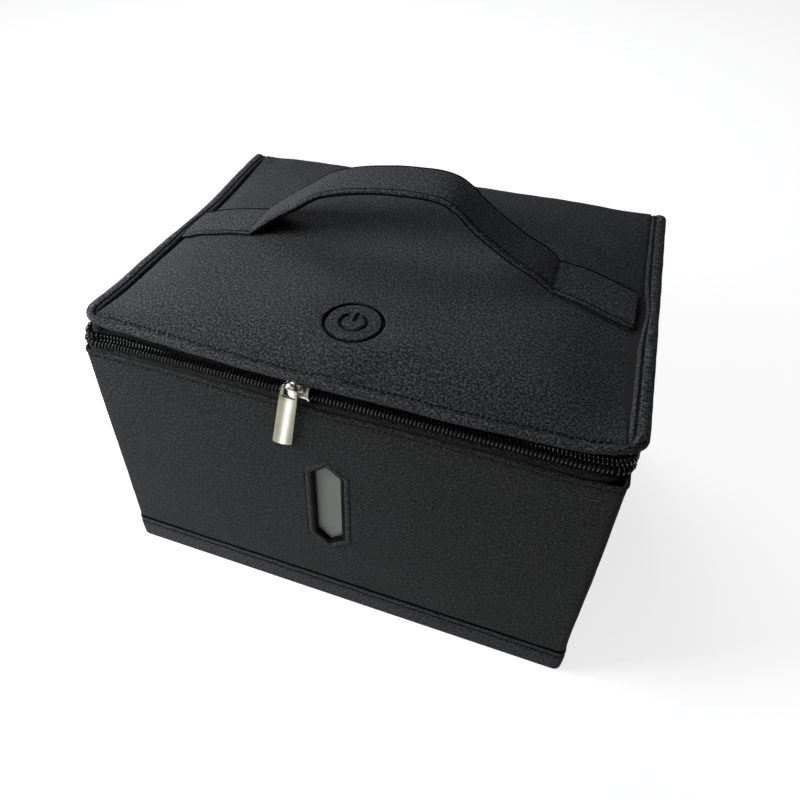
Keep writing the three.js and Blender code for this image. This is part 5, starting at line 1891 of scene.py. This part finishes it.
def makeBridge():
    top = bridge["top"]
    foot = slider["top"] + bridge["foot"]
    (leftFoot, leftSide, leftShare), (rightFoot, rightSide, rightShare) = bridge["ends"]
    path = [(leftFoot, foot), (leftSide, mix(foot, top, leftShare))]
    for middle, start in bridge["bends"]:
        for i in range(bridge["bendSteps"] + 1):
            angle = math.radians(start - 90 * i / bridge["bendSteps"])
            x = middle + bridge["bend"] * math.cos(angle)
            path.append((x, top - bridge["bend"] + bridge["bend"] * math.sin(angle)))
    path += [(rightSide, mix(foot, top, rightShare)), (rightFoot, foot)]
    line = [Vector(point) for point in path]
    rows = []
    for i, (x, proud) in enumerate(path):
        ahead = directionAt(line, i)
        aside = Vector((-ahead.y, ahead.x)) * bridge["half"]
        ring = []
        for angle in roundAngles(bridge["sides"]):
            across = bridge["width"] / 2 * signedPower(math.cos(angle), bridge["powers"][0])
            lift = signedPower(math.sin(angle), bridge["powers"][1])
            ring.append(sliderPoint(x + aside.x * lift, across, proud + aside.y * lift))
        rows.append(ring)
    return solidRings("sliderBridge", [rows], nickel)


# closed solids, each a run of rings with both ends filled, in one object
def solidRings(name, solids, material):
    verts = []
    faces = []
    for rows in solids:
        faces += ringFaces(len(verts), len(rows), len(rows[0]))
        verts += [p for row in rows for p in row]
    return facingOut(makeObject(name, verts, faces, material))


def makeSlider():
    top = makeSliderPlate("sliderTop", slider["top"], 1.0, slider["rolls"])
    settle(top, "slider", "nickel", "slider_body")
    bottom = makeSliderPlate("sliderBottom", slider["bottom"], slider["bottomShare"], (0.0, 0.0))
    settle(bottom, "slider", "nickel")
    settle(makeBridge(), "slider", "nickel")
    below, short = slider["postSink"]
    post = []
    for proud in (slider["bottom"] - below, slider["top"] - short):
        post.append([sliderPoint(x * mm, across * mm, proud) for x, across in slider["post"]])
    settle(solidRings("sliderPost", [post], nickel), "slider", "nickel")


pull = {
    "length": 31 * mm,
    "width": 7.3 * mm,
    "footWidth": 8.2 * mm,
    "thickness": 1.15 * mm,
    "crown": 0.5 * mm,
    "lean": 10.0,
    "yaw": 12.0,  # degrees that its right side turns back
    "yawFrom": (-1.5 * mm, 5 * mm),  # below the eye, and over what length
    "place": -0.75 * mm,  # it hangs to the left of its pivot's middle
    "knuckle": 2.45 * mm,
    "shoulder": 3.4 * mm,
    "wire": 0.5 * mm,
    "sides": 28,
    "corners": (0.4 * mm, 0.7 * mm),  # rounding at the shoulder and at the foot
    "thinEnd": 0.4 * mm,
    # rows of points down the plate, closer together where it rounds off
    "rowShares": [
        0, 0.008, 0.02, 0.027, 0.035, 0.043, 0.055, 0.08, 0.12, 0.2, 0.35, 0.5, 0.65, 0.8, 0.9, 0.95, 0.975,
        0.99, 1.0,
    ],
    "cornerShare": 0.9,
    "grooveShares": (0.035, 0.009, 0.2),  # a shallow groove across the shoulder: place, width and depth
    "endShare": 0.8,  # how thick the very ends still are
    "powers": (0.5, 0.7),  # how square the section is, sideways and through
}


def pullPlate():
    # rows from the shoulder to the foot, each a closed ring round the plate's section
    rows = []
    top = -pull["shoulder"]
    foot = -pull["length"]
    groove, grooveWidth, grooveDepth = pull["grooveShares"]
    sideways, through = pull["powers"]
    for share in pull["rowShares"]:
        fromEnd = min(share, 1 - share) * abs(foot - top)
        corner = pull["corners"][1 if share > 0.5 else 0]
        inset = corner - math.sqrt(max(corner ** 2 - max(corner - fromEnd, 0) ** 2, 0))
        width = mix(pull["width"], pull["footWidth"], share)
        half = width / 2 - inset * pull["cornerShare"]
        neck = 1 - grooveDepth * hump(share - groove, grooveWidth)
        thin = mix(pull["endShare"], 1, ease(fromEnd / pull["thinEnd"])) * neck
        ring = []
        for angle in roundAngles(pull["sides"]):
            x = half * signedPower(math.cos(angle), sideways)
            front = pull["thickness"] / 2 * signedPower(math.sin(angle), through)
            swell = pull["crown"] * (1 - (x / (width / 2)) ** 2) if math.sin(angle) > 0 else 0
            ring.append(Vector((x, -(front + swell) * thin, mix(top, foot, share))))
        rows.append(ring)
    return rows


# the eye's two sides as (sideways, height, half width), all in millimetres, before they turn over the bridge
eyeLeft = [(-2.8, -4.6, 0.85), (-2.75, -3.6, 0.88), (-2.72, -2.6, 0.84), (-2.7, -1.6, 0.72)]
eyeRight = [(2.15, -4.6, 1.5), (2.1, -3.6, 1.52), (1.75, -2.6, 1.8), (1.35, -1.6, 1.98)]
overBridge = {
    "left": (-1.5 * mm, 0.45 * mm),  # sideways and half width there
    "right": (0.4 * mm, 1.3 * mm),
    "turn": (205, -20),  # degrees round the bridge
    "steps": 12,
    "sides": 20,
    "shift": (0.12, 2.2),  # when it starts to move sideways, and how fast
    "thinning": 1.6,
    "powers": (0.6, 0.8),
}
pivotBar = {"ends": (-1.8 * mm, 1.4 * mm), "drop": 0.6 * mm, "backShare": 0.94, "steps": 8, "sides": 12}


def pullArm(side, overAt, overHalf):
    plane = -pull["knuckle"] + pull["thickness"] / 2
    line = [Vector((x * mm, plane, z * mm)) for x, z, _ in side]
    halves = [half * mm for _, _, half in side]
    reach = pull["knuckle"] - pull["wire"]
    startX, startHalf = side[-1][0] * mm, halves[-1]
    start, speed = overBridge["shift"]
    for i in range(overBridge["steps"] + 1):
        t = i / overBridge["steps"]
        angle = math.radians(mix(*overBridge["turn"], t))
        x = mix(startX, overAt, ease((t - start) * speed))
        line.append(Vector((x, reach * math.cos(angle), reach * math.sin(angle))))
        halves.append(mix(startHalf, overHalf, ease(t * overBridge["thinning"])))
    sideways, through = overBridge["powers"]
    aside = Vector((1, 0, 0))
    rows = []
    for i, (point, half) in enumerate(zip(line, halves)):
        up = aside.cross(directionAt(line, i)).normalized()
        ring = []
        for angle in roundAngles(overBridge["sides"]):
            wide = half * signedPower(math.cos(angle), sideways)
            ring.append(point + aside * wide + up * signedPower(math.sin(angle), through) * pull["wire"])
        rows.append(ring)
    return rows


def makePull():
    plane = -pull["knuckle"] + pull["thickness"] / 2
    plate = [[p + Vector((0, plane, 0)) for p in row] for row in pullPlate()]
    left = pullArm(eyeLeft, *overBridge["left"])
    right = pullArm(eyeRight, *overBridge["right"])
    behind = (pull["knuckle"] - pull["wire"]) * pivotBar["backShare"]
    spokes = [Vector((0, math.cos(a), math.sin(a))) * pull["wire"] for a in roundAngles(pivotBar["sides"])]
    bar = []
    for i in range(pivotBar["steps"] + 1):
        centre = Vector((mix(*pivotBar["ends"], i / pivotBar["steps"]), behind, -pivotBar["drop"]))
        bar.append([centre + spoke for spoke in spokes])
    place = Matrix.Translation(Vector(swing["pos_m"]) + Vector((pull["place"], 0, 0)))
    place = place @ Matrix.Rotation(math.radians(pull["lean"]), 4, "Y")
    solids = [[[place @ yawed(p) for p in row] for row in rows] for rows in (plate, left, right, bar)]
    settle(solidRings("pullTab", solids, rubbedNickel), "pull", "nickel", "zip_pull")


# the plate twists on the bridge: its eye stays square to the bridge while the plate below turns
def yawed(point):
    start, over = pull["yawFrom"]
    angle = math.radians(pull["yaw"]) * ease((start - point.z) / over)
    axis = pull["thickness"] / 2 - pull["knuckle"]
    across, back = point.x, point.y - axis
    x = across * math.cos(angle) - back * math.sin(angle)
    y = axis + across * math.sin(angle) + back * math.cos(angle)
    return Vector((x, y, point.z))


makeSlider()
makePull()
print("stage: slider and pull made")


# Inside: crinkled foil on the floor, the walls and the lid's underside

inside = {
    "crinkle": 0.45 * mm,
    "size": 14 * mm,
    "calm": 4 * mm,  # beside the sheets' edges
    "thickness": 0.2 * mm,
    "count": 60,
    "corner": 1.6 * mm,
    "cornerSteps": 4,
    "step": 4 * mm,
    "rows": 26,
    "foldEnd": 8 * mm,  # how far the fold's ends stay clear of the sides
    "foldBend": 4 * mm,
    # the inner fold's section, as (up from the hinge line, in from the back) in millimetres
    "fold": [(-6.5, 4.6), (-4.0, 4.5), (-1.5, 5.2), (1.0, 5.6), (3.0, 5.2), (4.6, 4.6)],
    "foldSteps": 50,
    "seeds": (1.5, 2.5),
    "flatPower": 12,  # keeps the crinkles square to each wall
}


def foilSheet(name, body, node, low, high, z, facing):
    def height(x, y, edge):
        crumple = unrest((x, y, z), inside["size"], inside["seeds"][0]) * inside["crinkle"]
        return z + facing * abs(crumple * ease(edge / inside["calm"]))

    rows = sheetRows(low, high, inside["count"], inside["count"], height, facing)
    settle(thicken(gridObject(name, rows, foil), inside["thickness"]), body, "foil", node)


def makeInside():
    baseLow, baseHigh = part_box("base_liner")
    foilSheet("floorFoil", "body", "base_liner", baseLow, baseHigh, baseHigh.z, 1)
    foilSheet("lidFoil", "lid", "lid_lining", liningLow, liningHigh, liningLow.z, -1)
    corner, step, cornerSteps = inside["corner"], inside["step"], inside["cornerSteps"]
    stations = aroundBox(linerHigh.x, linerHigh.y, corner, step, cornerSteps)
    rows = inside["rows"]

    def profile(place):
        return [(0.0, mix(linerHigh.z, linerLow.z, i / rows)) for i in range(rows + 1)]

    obj = sweep("wallFoil", stations, profile, foil, wrap=True)
    for vertex in obj.data.vertices:
        x = signedPower(-vertex.co.x / linerHigh.x, inside["flatPower"])
        y = signedPower(-vertex.co.y / linerHigh.y, inside["flatPower"])
        deep = abs(unrest(vertex.co, inside["size"], inside["seeds"][1]))
        vertex.co += Vector((x, y, 0)) * deep * inside["crinkle"]
    settle(thicken(obj, inside["thickness"]), "body", "foil", "wall_liner")
    half = halfWidth - inside["foldEnd"]
    fold = []
    for z, back in inside["fold"]:
        y = halfDepth - back * mm
        xs = [mix(-1, 1, c / inside["foldSteps"]) * half for c in range(inside["foldSteps"] + 1)]
        fold.append([Vector((x, y, foldHeight + z * mm)) for x in xs])
    obj = thicken(gridObject("innerFold", fold, foil), inside["thickness"])
    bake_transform(obj)


makeInside()
print("stage: inside made")


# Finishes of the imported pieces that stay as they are

finishes = (
    (boardGrey, "base_board front_board back_board left_board right_board lid_board"),
    (filmGrey, "window_film"),
    (platedSteel, "safety_magnet power_inlet"),
    (nickel, "zip_lower_stop_left zip_lower_stop_right zip_upper_stop_left zip_upper_stop_right"),
    (circuitGreen, "control_board"),
    (blackPlastic, "driver_chip button_bezel press_switch"),
    (clearCover, "reed_switch led_cover_front led_cover_rear"),
    (stripWhite, "led_strip_front led_strip_rear"),
    (lampCeramic, "switch_plunger"),
    (lampCeramic, " ".join(f"led_{row}_{index}" for row in ("front", "rear") for index in range(1, 6))),
    (wireRed, "wire_front_leds wire_rear_leds wire_power"),
)
for material, names in finishes:
    for name in names.split():
        node = frame["nodes"][name]
        if not node.material_slots:
            node.data.materials.append(material)
        for slot in node.material_slots:
            slot.material = material
print("stage: packed pieces finished")


# Floor, light and world

studio = {
    "floor": (0.86, 0.86, 0.86, 1.0),
    "floorSize": 6.0,
    "floorDrop": 0.2 * mm,
    "lift": 0.78,
    "world": 0.02,
    "worldColour": (0.97, 0.98, 1.0, 1.0),
}


def makeFloor():
    size = studio["floorSize"]
    corners = ((-size, -size), (size, -size), (size, size), (-size, size))
    points = [Vector((x, y, -studio["floorDrop"])) for x, y in corners]
    floor = makeObject("floor", points, [(0, 1, 2, 3)], nickel)
    material = bpy.data.materials.new("paleFloor")
    material.use_nodes = True
    tree = material.node_tree
    shader = tree.nodes["Principled BSDF"]
    shader.inputs["Base Color"].default_value = studio["floor"]
    shader.inputs["Roughness"].default_value = 1.0
    shader.inputs["Specular IOR Level"].default_value = 0.0
    path = tree.nodes.new("ShaderNodeLightPath")
    seen = mathNode(tree, "MAXIMUM", path.outputs["Is Camera Ray"], path.outputs["Is Glossy Ray"])
    seen = mathNode(tree, "MAXIMUM", seen, path.outputs["Is Transmission Ray"])
    shader.inputs["Emission Color"].default_value = (1, 1, 1, 1)
    tree.links.new(times(tree, seen, studio["lift"]), shader.inputs["Emission Strength"])
    floor.data.materials[0] = material


def makeWorld():
    world = bpy.data.worlds.new("studio")
    bpy.context.scene.world = world
    world.use_nodes = True
    tree = world.node_tree
    back = tree.nodes["Background"]
    back.inputs["Color"].default_value = studio["worldColour"]
    path = tree.nodes.new("ShaderNodeLightPath")
    seen = mathNode(tree, "MAXIMUM", path.outputs["Is Camera Ray"], path.outputs["Is Transmission Ray"])
    strength = plus(tree, times(tree, seen, 1 - studio["world"]), studio["world"])
    tree.links.new(strength, back.inputs["Strength"])


def softbox(name, look):
    data = bpy.data.lights.new(name, "AREA")
    data.shape = "RECTANGLE"
    data.size, data.size_y = look["size"]
    data.energy = look["power"]
    data.spread = math.radians(look["spread"])
    data.color = look["colour"]
    lamp = bpy.data.objects.new(name, data)
    lamp.location = look["place"]
    lamp.rotation_mode = "QUATERNION"
    lamp.rotation_quaternion = (Vector(look["aim"]) - Vector(look["place"])).to_track_quat("-Z", "Y")
    bpy.context.scene.collection.objects.link(lamp)


# places, aims and sizes in metres, spread in degrees
lamps = {
    "keyLight": {
        "place": (-0.33, -0.2, 0.3), "aim": (-0.09, -0.04, 0.1), "size": (0.22, 0.22),
        "power": 0.5, "colour": (0.97, 0.985, 1.0), "spread": 100,
    },
    "frontLight": {
        "place": (-0.28, -0.67, 0.62), "aim": (0, -0.08, 0.12), "size": (0.5, 0.4),
        "power": 0.45, "colour": (1.0, 1.0, 0.98), "spread": 180,
    },
    "backLight": {
        "place": (-0.5, 0.7, 1.1), "aim": (0, 0, 0.1), "size": (0.8, 0.8),
        "power": 4.8, "colour": (0.98, 0.99, 1.0), "spread": 180,
    },
}


makeFloor()
makeWorld()
for name, look in lamps.items():
    softbox(name, look)
bpy.context.scene.view_settings.view_transform = "Standard"
print("stage: studio made")
